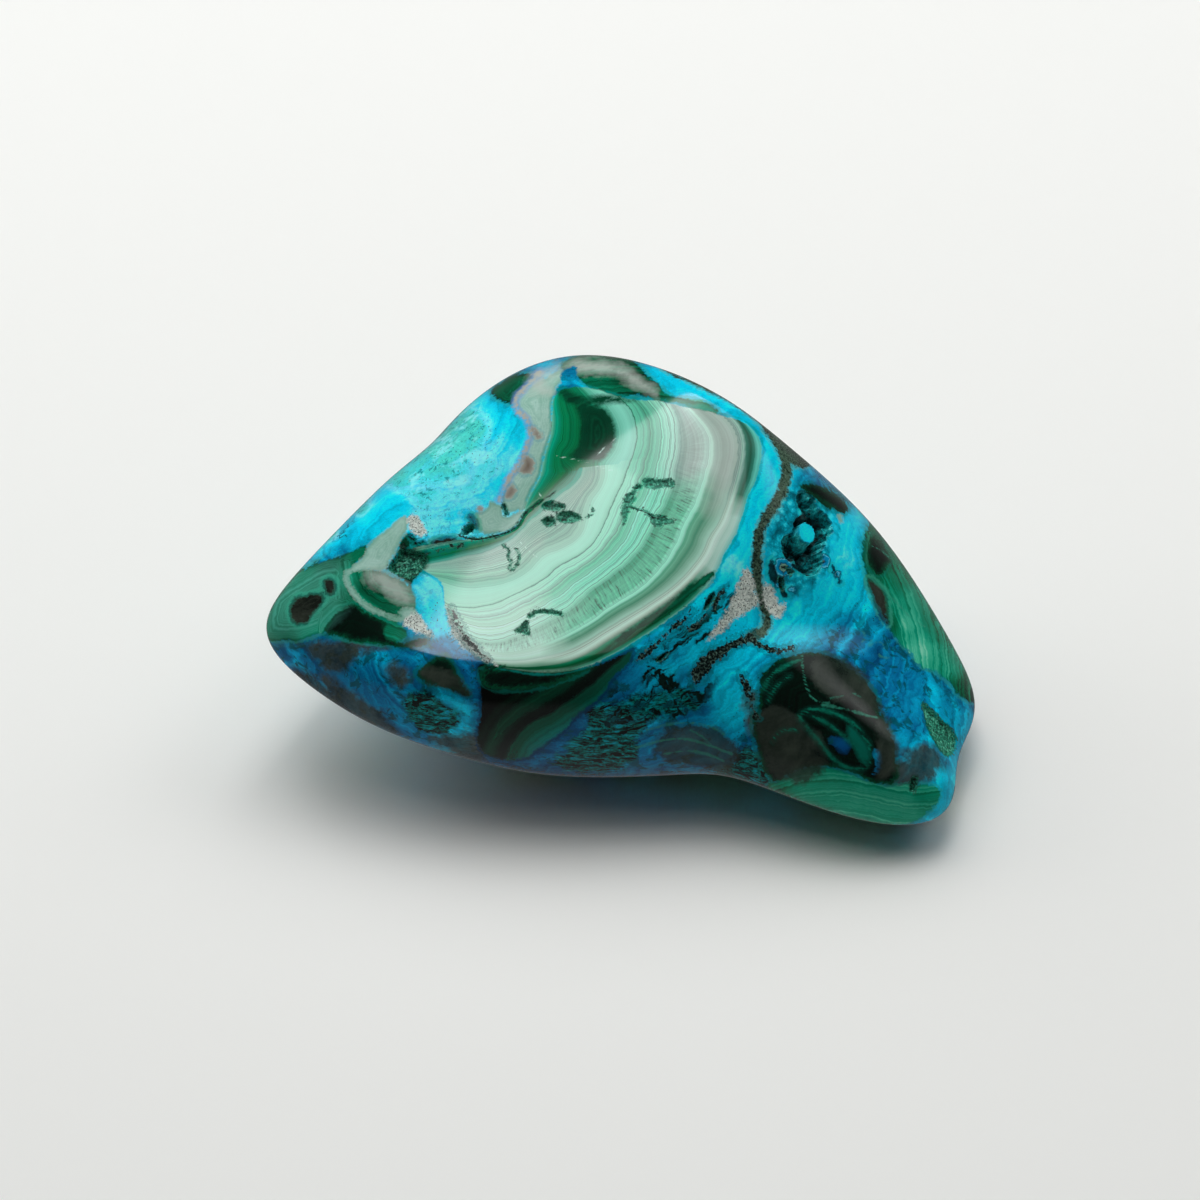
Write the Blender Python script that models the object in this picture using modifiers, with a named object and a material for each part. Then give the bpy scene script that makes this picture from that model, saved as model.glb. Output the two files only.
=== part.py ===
"""Polished chrysocolla and malachite freeform, about 93 mm long: one natural stone.

The stone is a rough nodule ground on a wheel into a rounded, three cornered block. Each ground facet is
given by the way it faces and by its distance from a core point, and the polish rolls one facet into the
next. Its belly is rounded under, and sawn flat where it rests. A vug with a stalactite column opens in the
right shoulder, and chips and solution pits break the polish of the main face. Metres, +Z up, origin under the
stone's middle, at Z = 0 on the resting face.
"""

import math

import bmesh
import bpy
import numpy as np
from mathutils import Matrix, Vector

MM = 0.001

# The core point, mm, from which every facet's distance is measured.
CORE = np.array([-1.3, -3.0, 19.0])

# Ground facets: azimuth and elevation of the outward normal in degrees, distance from the core in mm.
FACETS = {
    "main": (-99, 64, 12.5),
    "nose_top": (-120, 74, 17.5),
    "turquoise": (167, 62, 25.5),
    "top_back": (80, 57, 33.5),
    "right_upper": (-34, 47, 23.0),
    "right_face": (6, 39, 30.5),
    "front_right": (-64, 35, 18.0),
    "front": (-88, 19, 21.0),
    "left_front": (-115, 9, 29.5),
    "lower_right": (-72, 10, 31.5),
    "nose": (-160, 3, 53.0),
    "right_tip": (-17, 2, 55.0),
    "back_left": (147, 28, 35.5),
    "back_right": (46, 38, 31.5),
    "back": (88, -3, 33.5),
    "back_left_low": (150, -27, 35.0),
    "back_right_low": (46, -22, 39.0),
    "front_under": (-95, -24, 23.1),
    "belly": (-70, -60, 24.1),
    "toe_under": (-33, -64, 37.8),
    "left_under": (-166, -63, 24.0),
    "right_under": (-41, -65, 43.1),
}

# Distance from the core down to the ground underside, mm.
# The saw then takes what lies under the resting face, Z = 0.
UNDERSIDE = 19.5

# How tightly the polish turns from facet to facet: higher is a crisper edge.
CRISPNESS = 12.0

# Swells and hollows of the rough that the wheel followed: azimuth, elevation, half width in degrees, height, mm.
SWELLS = {
    "toe": (-34, -13, 14, 18.5),
    "heel": (-16, -10, 9, 3.0),
    "waist": (138, 14, 10, -0.7),
    "saddle": (-26, 14, 14, -1.0),
}

# Cells along one side of the coarse cage, which is smoothed once, and how it is drawn out along X, Y and Z.
CAGE = 13
CAGE_STRETCH = (1.5, 1.0, 0.75)

# The smoothing draws a cage point in by half of its height over its neighbours, so the cage stands proud by it.
PROUD = 0.5

# The vug, seen square to the polish: place, then lumps of empty space as right, up, out and radius in mm.
VUG_PLACE = (1, 24)
VUG_LUMPS = (
    (0.0, -0.4, -1.6, 3.1),
    (3.1, 2.5, -0.7, 2.0),
    (3.0, -0.6, -1.2, 2.2),
    (-2.4, -2.6, -0.9, 2.5),
    (-3.4, -0.5, -0.6, 2.1),
    (0.6, 0.8, -3.4, 2.3),
)
# Botryoidal knobs on its walls, in the same measures.
VUG_KNOBS = (
    (2.6, 1.3, -2.9, 1.0),
    (-1.4, -3.4, -3.3, 1.2),
    (-4.6, -2.0, -2.1, 0.9),
    (1.9, -2.4, -3.2, 1.0),
    (-2.2, 1.2, -2.9, 1.1),
    (4.6, 3.4, -1.6, 0.7),
    (3.8, -2.0, -2.4, 0.8),
)
# The column that bridges it: foot and head as right, up and out, with their radii, mm.
COLUMN_FOOT = (-1.5, -1.1, -5.5)
COLUMN_HEAD = (0.1, 0.3, 2.0)
COLUMN_RADII = (1.7, 1.2)

# Chips and pits: place, depth in mm, then the outline as right and up in mm.
PITS = {
    "chip_bar": (
        (38, 67),
        0.5,
        ((-2.3, 0.4), (-0.6, 0.9), (0.5, 0.5), (2.2, 0.9), (2.3, -0.2), (0.2, -0.4), (-2.1, -0.7)),
    ),
    "chip_ledge": (
        (21, 73),
        0.7,
        (
            (-3.2, 0.9), (-1.9, 1.7), (-1.6, 0.2), (2.3, 0.1), (2.5, -1.5), (1.2, -0.9), (0.2, -1.9),
            (-1.0, -1.2), (-2.9, -1.7),
        ),
    ),
    "chip_wedge": (
        (-131, 19),
        0.7,
        ((-1.6, -0.5), (-0.3, 0.3), (0.6, 1.4), (0.5, 0.1), (1.0, -0.8)),
    ),
    "chip_scratch": (
        (-126, 26),
        0.5,
        ((-1.9, 0.5), (0.0, 0.1), (2.0, 0.4), (2.0, -0.3), (0.3, -0.4), (-1.6, -0.7)),
    ),
    "nose_pit": (
        (-170, 18),
        1.3,
        (
            (-2.3, 0.7), (-1.3, 1.9), (0.9, 2.1), (1.5, 1.1), (2.3, 0.5), (2.0, -1.3), (0.6, -1.2),
            (0.1, -2.2), (-1.6, -1.6),
        ),
    ),
    "chip_group": (
        (173, 62),
        0.6,
        (
            (-2.8, 0.9), (-0.8, 1.6), (0.4, 0.8), (2.5, 1.2), (2.4, -0.9), (0.9, -0.3), (0.3, -1.6),
            (-1.9, -0.8),
        ),
    ),
    "chip_low": (
        (-166, 38),
        0.6,
        ((-1.4, 0.5), (0.0, 1.3), (1.4, 0.4), (0.8, -1.3), (-0.7, -1.0)),
    ),
    "slit_upper": (
        (-41, 28),
        1.4,
        ((-1.4, -0.9), (-0.2, 0.6), (1.0, 1.0), (0.6, -0.2), (-0.7, -1.2)),
    ),
    "slit_lower": (
        (-71, 14),
        1.1,
        ((-1.1, -0.4), (0.2, 0.5), (1.0, 0.4), (-0.1, -0.5)),
    ),
    "vug_slit": (
        (-17, 19),
        1.0,
        ((-0.4, 1.0), (0.5, 0.9), (0.1, -0.9), (-0.6, -0.7)),
    ),
    "lens_pit": (
        (15, 22),
        1.0,
        ((-0.4, 2.0), (0.7, 0.6), (0.8, -1.9), (-0.5, -0.6)),
    ),
    "toe_pit": (
        (-35, -10),
        0.9,
        ((0.1, 1.2), (0.8, 0.3), (0.1, -1.2), (-0.7, -0.4)),
    ),
}


def clear_scene():
    for obj in list(bpy.data.objects):
        bpy.data.objects.remove(obj, do_unlink=True)


def new_collection(name):
    collection = bpy.data.collections.new(name)
    bpy.context.scene.collection.children.link(collection)
    return collection


def direction(azimuth, elevation):
    turn = math.radians(azimuth)
    rise = math.radians(elevation)
    return np.array([math.cos(turn) * math.cos(rise), math.sin(turn) * math.cos(rise), math.sin(rise)])


def stone_point(way):
    """The point of the polished surface that lies this way from the core, mm."""
    way = np.asarray(way, float)
    way = way / np.linalg.norm(way)
    nearness = 0.0
    for azimuth, elevation, distance in FACETS.values():
        facing = float(way @ direction(azimuth, elevation))
        nearness += max(facing / distance, 0.0) ** CRISPNESS
    reach = nearness ** (-1.0 / CRISPNESS)
    for azimuth, elevation, width, height in SWELLS.values():
        apart = math.degrees(math.acos(min(1.0, float(way @ direction(azimuth, elevation)))))
        reach += height * math.exp(-((apart / width) ** 2))
    downward = max(-way[2] / UNDERSIDE, 0.0)
    reach = (reach**-CRISPNESS + downward**CRISPNESS) ** (-1.0 / CRISPNESS)
    return CORE + way * reach


def place_on_stone(azimuth, elevation):
    """A frame on the polish: its origin on the surface, X to the right, Y up the face and Z out of it."""
    way = direction(azimuth, elevation)
    side = np.cross(way, (0.31, 0.17, 0.93))
    rise = np.cross(way, side)
    step = 0.02
    across = stone_point(way + side * step) - stone_point(way - side * step)
    along = stone_point(way + rise * step) - stone_point(way - rise * step)
    out = Vector(np.cross(across, along)).normalized()
    if out.dot(Vector(way)) < 0:
        out = -out
    right = Vector((0, 0, 1)).cross(out).normalized()
    up = out.cross(right)
    frame = Matrix((right, up, out)).transposed().to_4x4()
    frame.translation = Vector(stone_point(way) * MM)
    return frame


def object_of(bm, name, collection):
    bmesh.ops.recalc_face_normals(bm, faces=bm.faces)
    mesh = bpy.data.meshes.new(name)
    bm.to_mesh(mesh)
    bm.free()
    obj = bpy.data.objects.new(name, mesh)
    collection.objects.link(obj)
    return obj


def as_cutter(obj):
    obj.hide_render = True
    obj.display_type = "WIRE"
    return obj


def cut(obj, other, operation="DIFFERENCE"):
    boolean = obj.modifiers.new(operation.title() + " " + other.name, "BOOLEAN")
    boolean.operation = operation
    boolean.solver = "EXACT"
    boolean.object = other


def stone_body(collection):
    """A cube, divided evenly, with every point sent out along its own way until it meets the polish."""
    bm = bmesh.new()
    bmesh.ops.create_cube(bm, size=2.0)
    bmesh.ops.subdivide_edges(bm, edges=bm.edges[:], cuts=CAGE - 1, use_grid_fill=True)
    for vert in bm.verts:
        way = [math.tan(value * math.pi / 4) * stretch for value, stretch in zip(vert.co, CAGE_STRETCH)]
        vert.co = Vector(stone_point(way) * MM)
    bm.normal_update()
    raised = []
    for vert in bm.verts:
        around = sum((edge.other_vert(vert).co for edge in vert.link_edges), Vector()) / len(vert.link_edges)
        height = (vert.co - around).dot(vert.normal)
        raised.append(vert.co + vert.normal * height * PROUD)
    for vert, place in zip(bm.verts, raised):
        vert.co = place
    body = object_of(bm, "stone", collection)
    smooth = body.modifiers.new("Polish", "SUBSURF")
    smooth.levels = 1
    smooth.render_levels = 1
    return body


def lump(name, frame, measures, subdivisions, collection):
    """A ball at right, up, out from the frame."""
    right, up, out, radius = measures
    bm = bmesh.new()
    bmesh.ops.create_icosphere(bm, subdivisions=subdivisions, radius=radius * MM)
    obj = object_of(bm, name, collection)
    obj.matrix_world = frame @ Matrix.Translation(Vector((right, up, out)) * MM)
    return as_cutter(obj)


def column(frame, collection):
    foot = Vector(COLUMN_FOOT) * MM
    head = Vector(COLUMN_HEAD) * MM
    axis = head - foot
    bm = bmesh.new()
    bmesh.ops.create_cone(
        bm,
        cap_ends=True,
        segments=20,
        radius1=COLUMN_RADII[0] * MM,
        radius2=COLUMN_RADII[1] * MM,
        depth=axis.length,
    )
    obj = object_of(bm, "vug_column", collection)
    turn = axis.to_track_quat("Z", "Y").to_matrix().to_4x4()
    obj.matrix_world = frame @ Matrix.Translation((foot + head) / 2) @ turn
    return as_cutter(obj)


def vug(collection):
    """The hollow: lumps of space joined, less the knobs on its walls and the column that crosses it."""
    frame = place_on_stone(*VUG_PLACE)
    hollow = lump("vug", frame, VUG_LUMPS[0], 3, collection)
    for number, measures in enumerate(VUG_LUMPS[1:]):
        cut(hollow, lump(f"vug_lump_{number}", frame, measures, 3, collection), "UNION")
    for number, measures in enumerate(VUG_KNOBS):
        cut(hollow, lump(f"vug_knob_{number}", frame, measures, 2, collection))
    cut(hollow, column(frame, collection))
    return hollow


def pit(name, place, depth, outline, collection):
    """A ragged recess: the outline, flared above the polish and drawn in to an uneven floor."""
    frame = place_on_stone(*place)
    bm = bmesh.new()
    rim = []
    floor = []
    for number, (right, up) in enumerate(outline):
        sink = depth * (1.0 + 0.3 * math.sin(2.4 * number + depth * 9.0))
        rim.append(bm.verts.new(Vector((right * 1.15, up * 1.15, 1.2)) * MM))
        floor.append(bm.verts.new(Vector((right * 0.8, up * 0.8, -sink)) * MM))
    crown = bm.verts.new(Vector((0, 0, 1.3)) * MM)
    bottom = bm.verts.new(Vector((0, 0, -depth * 1.1)) * MM)
    for number in range(len(outline)):
        after = (number + 1) % len(outline)
        bm.faces.new((rim[number], rim[after], crown))
        bm.faces.new((floor[after], floor[number], bottom))
        bm.faces.new((rim[after], rim[number], floor[number], floor[after]))
    obj = object_of(bm, name, collection)
    obj.matrix_world = frame
    return as_cutter(obj)


def principled(name, colour, roughness, metallic=0.0):
    material = bpy.data.materials.new(name)
    material.use_nodes = True
    shader = material.node_tree.nodes["Principled BSDF"]
    shader.inputs["Base Color"].default_value = (*colour, 1.0)
    shader.inputs["Roughness"].default_value = roughness
    shader.inputs["Metallic"].default_value = metallic
    material.diffuse_color = (*colour, 1.0)
    return material


def saw_block(collection):
    """Everything under the resting face."""
    bm = bmesh.new()
    bmesh.ops.create_cube(bm, size=0.2)
    obj = object_of(bm, "saw_block", collection)
    obj.location.z = -0.1
    return as_cutter(obj)


def build():
    clear_scene()
    parts = new_collection("chrysocolla_specimen")
    cutters = new_collection("cutters")
    pits = bpy.data.collections.new("pits")
    cutters.children.link(pits)
    stone = stone_body(parts)
    cut(stone, saw_block(cutters))
    cut(stone, vug(cutters))
    for name, (place, depth, outline) in PITS.items():
        pit(name, place, depth, outline, pits)
    chips = stone.modifiers.new("Difference pits", "BOOLEAN")
    chips.operation = "DIFFERENCE"
    chips.solver = "EXACT"
    chips.operand_type = "COLLECTION"
    chips.collection = pits
    stone.data.materials.append(principled("polished_chrysocolla", (0.03, 0.30, 0.27), 0.12))
    stone.data.shade_smooth()
    stone.data.set_sharp_from_angle(angle=math.radians(40))


build()
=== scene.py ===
"""Polished freeform of chrysocolla grown together with malachite, resting on a small sawn face.

One stone: a banded malachite eye on the broad top face, wrapped by veins of cyan to deep blue chrysocolla, with
a vug in the right shoulder. It lies on a plain pale floor under one softbox, inside a tent of white cloth.
"""

import math

import bmesh
import bpy
import numpy as np
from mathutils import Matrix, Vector, noise


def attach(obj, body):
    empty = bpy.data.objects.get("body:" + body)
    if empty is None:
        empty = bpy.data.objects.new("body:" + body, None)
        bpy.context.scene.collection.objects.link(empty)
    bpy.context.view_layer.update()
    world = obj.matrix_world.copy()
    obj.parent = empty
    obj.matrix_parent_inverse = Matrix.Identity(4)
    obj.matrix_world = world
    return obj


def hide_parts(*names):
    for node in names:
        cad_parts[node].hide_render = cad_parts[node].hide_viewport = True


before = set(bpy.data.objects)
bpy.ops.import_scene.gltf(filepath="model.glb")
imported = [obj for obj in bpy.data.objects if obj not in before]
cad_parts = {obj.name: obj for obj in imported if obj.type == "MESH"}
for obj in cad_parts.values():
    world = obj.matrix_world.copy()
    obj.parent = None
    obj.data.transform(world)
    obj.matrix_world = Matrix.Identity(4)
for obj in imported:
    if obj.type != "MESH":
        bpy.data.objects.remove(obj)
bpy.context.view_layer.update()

# ---------------------------------------------------------------------------------------------------------
# Stone: its ground shape.
# A tough nodule of copper minerals, ground on a wheel facet by facet and polished until one facet rolls into
# the next. It is sawn flat underneath at Z = 0, where it rests.

MM = 0.001
# The point inside that the facets are measured from, how far below it the stone ends, in mm, and how crisply the
# facets meet.
CORE = (-1.3, -3.0, 19.0)
UNDERSIDE = 19.5
CRISPNESS = 12.0
# Each facet's azimuth and elevation in degrees and its distance in mm.
FACETS = {
    "main": (-99, 64, 12.5),
    "nose_top": (-120, 74, 17.5),
    "turquoise": (167, 62, 25.5),
    "top_back": (80, 57, 33.5),
    "right_upper": (-34, 47, 23.0),
    "right_face": (6, 39, 30.5),
    "front_right": (-64, 35, 18.0),
    "front": (-88, 19, 21.0),
    "left_front": (-115, 9, 29.5),
    "lower_right": (-72, 10, 31.5),
    "nose": (-160, 3, 53.0),
    "right_tip": (-17, 2, 55.0),
    "back_left": (147, 28, 35.5),
    "back_right": (46, 38, 31.5),
    "back": (88, -3, 33.5),
    "back_left_low": (150, -27, 35.0),
    "back_right_low": (46, -22, 39.0),
    "front_under": (-95, -24, 23.1),
    "belly": (-70, -60, 24.1),
    "toe_under": (-33, -64, 37.8),
    "left_under": (-166, -63, 24.0),
    "right_under": (-41, -65, 43.1),
}
# What stands out from the facets: azimuth, elevation and width in degrees, and height in mm.
SWELLS = {
    "toe": (-34, -13, 14, 18.5),
    "heel": (-16, -10, 9, 3.0),
    "waist": (138, 14, 10, -0.7),
    "saddle": (-26, 14, 14, -1.0),
}
# Cells along one side of the cage whose points hold directions from the core, and how far it is drawn out.
CAGE_CELLS = 34
CAGE_STRETCH = (1.5, 1.0, 0.75)


class Amount:
    """A number, colour or vector on its way along a node link. Sums on a number add the Math nodes."""

    def __init__(self, plot, socket):
        self.plot = plot
        self.socket = socket

    def math(self, operation, other=None, turned=False):
        pair = [self] if other is None else [other, self] if turned else [self, other]
        return self.plot.amount("ShaderNodeMath", {"operation": operation}, dict(enumerate(pair)))

    def __abs__(self):
        return self.math("ABSOLUTE")

    def __neg__(self):
        return 0.0 - self

    def least(self, other):
        return self.math("MINIMUM", other)

    def most(self, other):
        return self.math("MAXIMUM", other)

    def clamped(self):
        return self.most(0.0).least(1.0)


def worked(operation, turned):
    return lambda amount, other: amount.math(operation, other, turned)


SIGNS = {"add": "ADD", "sub": "SUBTRACT", "mul": "MULTIPLY", "truediv": "DIVIDE", "pow": "POWER"}
for sign, operation in SIGNS.items():
    setattr(Amount, f"__{sign}__", worked(operation, False))
    setattr(Amount, f"__r{sign}__", worked(operation, True))


class Plot:
    """One node tree. Every node but the Math nodes is made by add: settings first, then values and links."""

    def __init__(self, tree):
        self.tree = tree

    def add(self, kind, settings=None, inputs=None):
        node = self.tree.nodes.new(kind)
        for name, value in (settings or {}).items():
            if name == "stops":
                ramp = node.color_ramp
                while len(ramp.elements) < len(value):
                    ramp.elements.new(0.5)
                for element, (place, colour) in zip(ramp.elements, value):
                    element.position = place
                    element.color = (*colour, 1.0)
            else:
                setattr(node, name, value)
        for key, value in (inputs or {}).items():
            if isinstance(value, Amount):
                self.tree.links.new(value.socket, node.inputs[key])
            else:
                node.inputs[key].default_value = value
        return node

    def amount(self, kind, settings=None, inputs=None, output=0):
        return Amount(self, self.add(kind, settings, inputs).outputs[output])

    def vector(self, operation, *values):
        return self.amount("ShaderNodeVectorMath", {"operation": operation}, dict(enumerate(values)))


def direction(azimuth, elevation):
    """The way to an azimuth and elevation in degrees."""
    turn = math.radians(azimuth)
    rise = math.radians(elevation)
    return (math.cos(turn) * math.cos(rise), math.sin(turn) * math.cos(rise), math.sin(rise))


def ground_stone_tree():
    """Sends every cage point out along its own direction until it meets the polished surface."""
    tree = bpy.data.node_groups.new("Ground stone", "GeometryNodeTree")
    for name, kind, flow in (
        ("Cage", "Geometry", "INPUT"), ("Crispness", "Float", "INPUT"), ("Underside", "Float", "INPUT"),
        ("Polish", "Material", "INPUT"), ("Stone", "Geometry", "OUTPUT"),
    ):
        tree.interface.new_socket(name=name, in_out=flow, socket_type="NodeSocket" + kind)
    plot = Plot(tree)
    given = plot.add("NodeGroupInput").outputs
    crisp = Amount(plot, given["Crispness"])
    way = plot.vector("NORMALIZE", plot.amount("GeometryNodeInputPosition"))

    def along(line):
        return plot.amount("ShaderNodeVectorMath", {"operation": "DOT_PRODUCT"}, {0: way, 1: line}, 1)

    nearness = 0.0
    for azimuth, elevation, distance in FACETS.values():
        nearness = (along(direction(azimuth, elevation)) * (1 / distance)).most(0.0) ** crisp + nearness
    reach = nearness ** (-1.0 / crisp)
    for azimuth, elevation, width, height in SWELLS.values():
        apart = along(direction(azimuth, elevation)).least(1.0).math("ARCCOSINE") * (180 / math.pi / width)
        reach = reach + height * math.e ** -(apart * apart)
    downward = along((0.0, 0.0, -1.0)) / Amount(plot, given["Underside"])
    reach = (reach ** -crisp + downward.most(0.0) ** crisp) ** (-1.0 / crisp)
    scaled = plot.amount("ShaderNodeVectorMath", {"operation": "SCALE"}, {0: way, "Scale": reach * MM})
    place = plot.vector("ADD", scaled, tuple(value * MM for value in CORE))
    on_floor = plot.vector("MAXIMUM", place, (-1.0, -1.0, 0.0))
    outwards = {"Geometry": Amount(plot, given["Cage"]), "Position": on_floor}
    moved = plot.amount("GeometryNodeSetPosition", None, outwards)
    whole = plot.amount("GeometryNodeRealizeInstances", None, {0: moved})
    finish = {"Geometry": whole, "Material": Amount(plot, given["Polish"])}
    plot.add("NodeGroupOutput", None, {0: plot.amount("GeometryNodeSetMaterial", None, finish)})
    return tree


def direction_cage(cells):
    """A closed cage of faces, each point of which is a direction from the core."""
    cage = bmesh.new()
    bmesh.ops.create_cube(cage, size=2.0)
    bmesh.ops.subdivide_edges(cage, edges=cage.edges[:], cuts=cells - 1, use_grid_fill=True)
    for vert in cage.verts:
        way = [math.tan(value * math.pi / 4) * stretch for value, stretch in zip(vert.co, CAGE_STRETCH)]
        vert.co = Vector(way).normalized()
    return cage


stone_polish = bpy.data.materials.new("stone_polish")
stone_tree = ground_stone_tree()
cage_mesh = bpy.data.meshes.new("stone_cage")
cage_object = bpy.data.objects.new("stone_cage", cage_mesh)
bpy.context.scene.collection.objects.link(cage_object)
grinding = cage_object.modifiers.new("Ground stone", "NODES")
grinding.node_group = stone_tree
sizes = {"Polish": stone_polish, "Crispness": CRISPNESS, "Underside": UNDERSIDE}
for item in stone_tree.interface.items_tree:
    if item.name in sizes:
        grinding[item.identifier] = sizes[item.name]


def numbers(collection, name, width=3):
    found = np.empty(len(collection) * width, np.float32)
    collection.foreach_get(name, found)
    return found.reshape(-1, width).astype(float)


def ground(cage):
    """The mesh that the rule makes of this cage."""
    cage.to_mesh(cage_mesh)
    cage_mesh.update()
    cage_object.update_tag()
    graph = bpy.context.evaluated_depsgraph_get()
    graph.update()
    return bpy.data.meshes.new_from_object(cage_object.evaluated_get(graph))


# The picture's own frame, in which every marking is placed: pixels of a 1200 by 1200 picture taken from 38
# degrees above the floor, 420 mm from the point that it is centred on.
PICTURE_CENTRE = np.array([-3.3, 1.0, 16.0])
PICTURE_RISE = math.radians(38)
PICTURE_DISTANCE = 420.0
PICTURE_SCALE = 3129.0
PICTURE_SIZE = 1200
TOWARDS_VIEW = np.array([0.0, -math.cos(PICTURE_RISE), math.sin(PICTURE_RISE)])
UP_THE_VIEW = np.array([0.0, math.sin(PICTURE_RISE), math.cos(PICTURE_RISE)])
EYE = PICTURE_CENTRE + PICTURE_DISTANCE * TOWARDS_VIEW


def picture_place(points):
    """Where points in mm are seen in the picture."""
    offset = points - EYE
    depth = -(offset @ TOWARDS_VIEW)
    across = PICTURE_SCALE * offset[:, 0] / depth
    up = PICTURE_SCALE * (offset @ UP_THE_VIEW) / depth
    return np.stack([PICTURE_SIZE / 2 + across, PICTURE_SIZE / 2 - up], axis=1)


def turned_to_view(points, normals):
    sight = EYE - points
    return (normals * sight).sum(1) / np.linalg.norm(sight, axis=1)


def rounded(points, closed, passes=2):
    """Cuts the corners of an outline or a line, given as x, y, x, y and so on, until it runs smoothly."""
    points = np.reshape(points, (-1, 2)).astype(float)
    for _ in range(passes):
        before = points if closed else points[:-1]
        after = np.roll(points, -1, axis=0)[: len(before)]
        cut = np.stack([0.75 * before + 0.25 * after, 0.25 * before + 0.75 * after], axis=1).reshape(-1, 2)
        points = cut if closed else np.concatenate([points[:1], cut, points[-1:]])
    return points


def nearest_on(places, points, closed):
    """Distance to a line or an outline, the side it is on, how far along, and whether it is inside."""
    ends = np.roll(points, -1, axis=0) if closed else points[1:]
    starts = points if closed else points[:-1]
    span = ends - starts
    length = np.maximum(np.hypot(*span.T), 1e-9)
    offset = places[:, None, :] - starts[None]
    share = np.clip((offset * span).sum(2) / length**2, 0, 1)
    gap = offset - share[..., None] * span
    apart = np.hypot(gap[..., 0], gap[..., 1])
    best = apart.argmin(1)
    rows = np.arange(len(places))
    side = np.sign(span[best, 0] * offset[rows, best, 1] - span[best, 1] * offset[rows, best, 0])
    along = np.concatenate([[0], np.cumsum(length)])[best] + share[rows, best] * length[best]
    crossed = (starts[:, 1] > places[:, 1:]) != (ends[:, 1] > places[:, 1:])
    slope = np.where(np.abs(span[:, 1]) > 1e-9, span[:, 1], 1e-9)
    at = starts[:, 0] + (places[:, 1:] - starts[:, 1]) * span[:, 0] / slope
    inside = ((crossed & (places[:, :1] < at)).sum(1) % 2) == 1
    return apart[rows, best], side, along, inside


# Past the margin round a shape its distance is only roughly kept, and past the far distance not at all.
MARGIN = 24.0
FAR = 60.0


def shape_distance(places, shape, margin=MARGIN):
    """Distance in pixels to a filled outline (negative inside) or to a stroke, given as its half width and line."""
    stroke = isinstance(shape, tuple)
    line = rounded(shape[1] if stroke else shape, not stroke)
    low = line.min(0) - margin
    high = line.max(0) + margin
    outside = np.maximum(np.maximum(low - places, places - high), 0)
    distance = np.hypot(*outside.T) + margin
    near = np.flatnonzero(distance <= margin + 1e-6)
    if len(near):
        apart, _, _, inside = nearest_on(places[near], line, not stroke)
        distance[near] = apart - shape[0] if stroke else np.where(inside, -apart, apart)
    return distance


def shapes_distance(places, shapes):
    distance = np.full(len(places), FAR)
    for shape in shapes:
        distance = np.minimum(distance, shape_distance(places, shape))
    return distance


# Chips, scars and solution slits that break the polish: depth in mm, then the outline in the picture's pixels,
# or the half width and line of a stroke.
BREAKS = {
    "chip_bar": (0.28, [642,480, 649,478, 662,480, 673,478, 675,488, 665,487, 655,489, 645,488]),
    "chip_side": (0.25, [641,483, 643,489, 637,490, 634,496, 636,500, 630,504, 627,514, 624,528, 622,512, 623,503,
                         627,494, 633,492, 635,486]),
    "chip_slit": (0.6, (0.7, [626,505, 636,509, 647,511, 650,516, 658,516, 665,517])),
    "chip_foot": (0.12, [649,515, 662,518, 676,521, 669,524, 660,523, 664,528, 652,525]),
    "wedge": (0.5, [512,632, 520,626, 527,618, 529,628, 530,636, 522,633]),
    "wedge_tail": (0.3, (2.2, [530,616, 538,611, 549,612, 561,614])),
    "scar_a": (0.45, [541,520, 548,516, 556,519, 553,526, 545,526]),
    "scar_b": (0.45, [556,514, 566,510, 579,514, 581,520, 570,523, 558,522]),
    "scar_c": (0.35, [540,507, 549,500, 556,503, 566,505, 562,510, 550,511]),
    "scar_d": (0.15, (0.5, [586,517, 594,514, 592,508])),
    "scar_e": (0.15, (0.8, [503,545, 510,551, 507,557, 512,561, 509,568])),
    "scar_f": (0.15, (0.7, [516,549, 520,556, 518,564, 512,570])),
    "crack": (0.4, (0.8, [459,535, 466,538, 478,540, 495,536, 509,532, 519,525, 523,515, 533,506, 541,500])),
    "star_hole": (1.2, [464,528, 468,523, 474,524, 475,530, 466,535, 460,535]),
    "star_notch": (0.8, (2.2, [504,506, 506,513])),
    "nose_pit": (1.0, [387,568, 397,556, 401,547, 411,550, 421,552, 428,556, 425,566, 416,578, 405,578, 394,573]),
    "slit_upper": (1.4, [703,610, 706,600, 711,592, 716,591, 714,601, 707,610]),
    "slit_lower": (1.0, [655,661, 662,653, 671,650, 664,659, 657,663]),
    "vug_slit": (1.3, [779,575, 784,578, 785,589, 781,592, 778,584]),
    "toe_pit": (0.9, [914,773, 919,779, 917,792, 911,795, 909,784]),
    "triangle": (0.35, [921,700, 931,709, 943,721, 956,734, 957,747, 948,759, 937,744, 926,722]),
    "eye_pit": (0.6, [786,566, 792,567, 794,574, 789,576, 786,571]),
}

# Fine cracks that the breaks end in, painted near black. Under the chip's lower edge the black is also painted
# shadow.
CRACKS_AND_SHADOW = [
    (0.7, [626,506, 637,509, 648,513, 652,517, 659,518, 668,516]),
    (0.7, [459,535, 466,538, 478,540, 495,536, 509,532, 519,525]),
    (0.6, [519,525, 524,514, 533,506, 548,497, 556,491]),
    (0.6, [640,662, 652,650, 664,640]),
    (0.6, [470,655, 474,668, 480,690, 484,712]),
]

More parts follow.
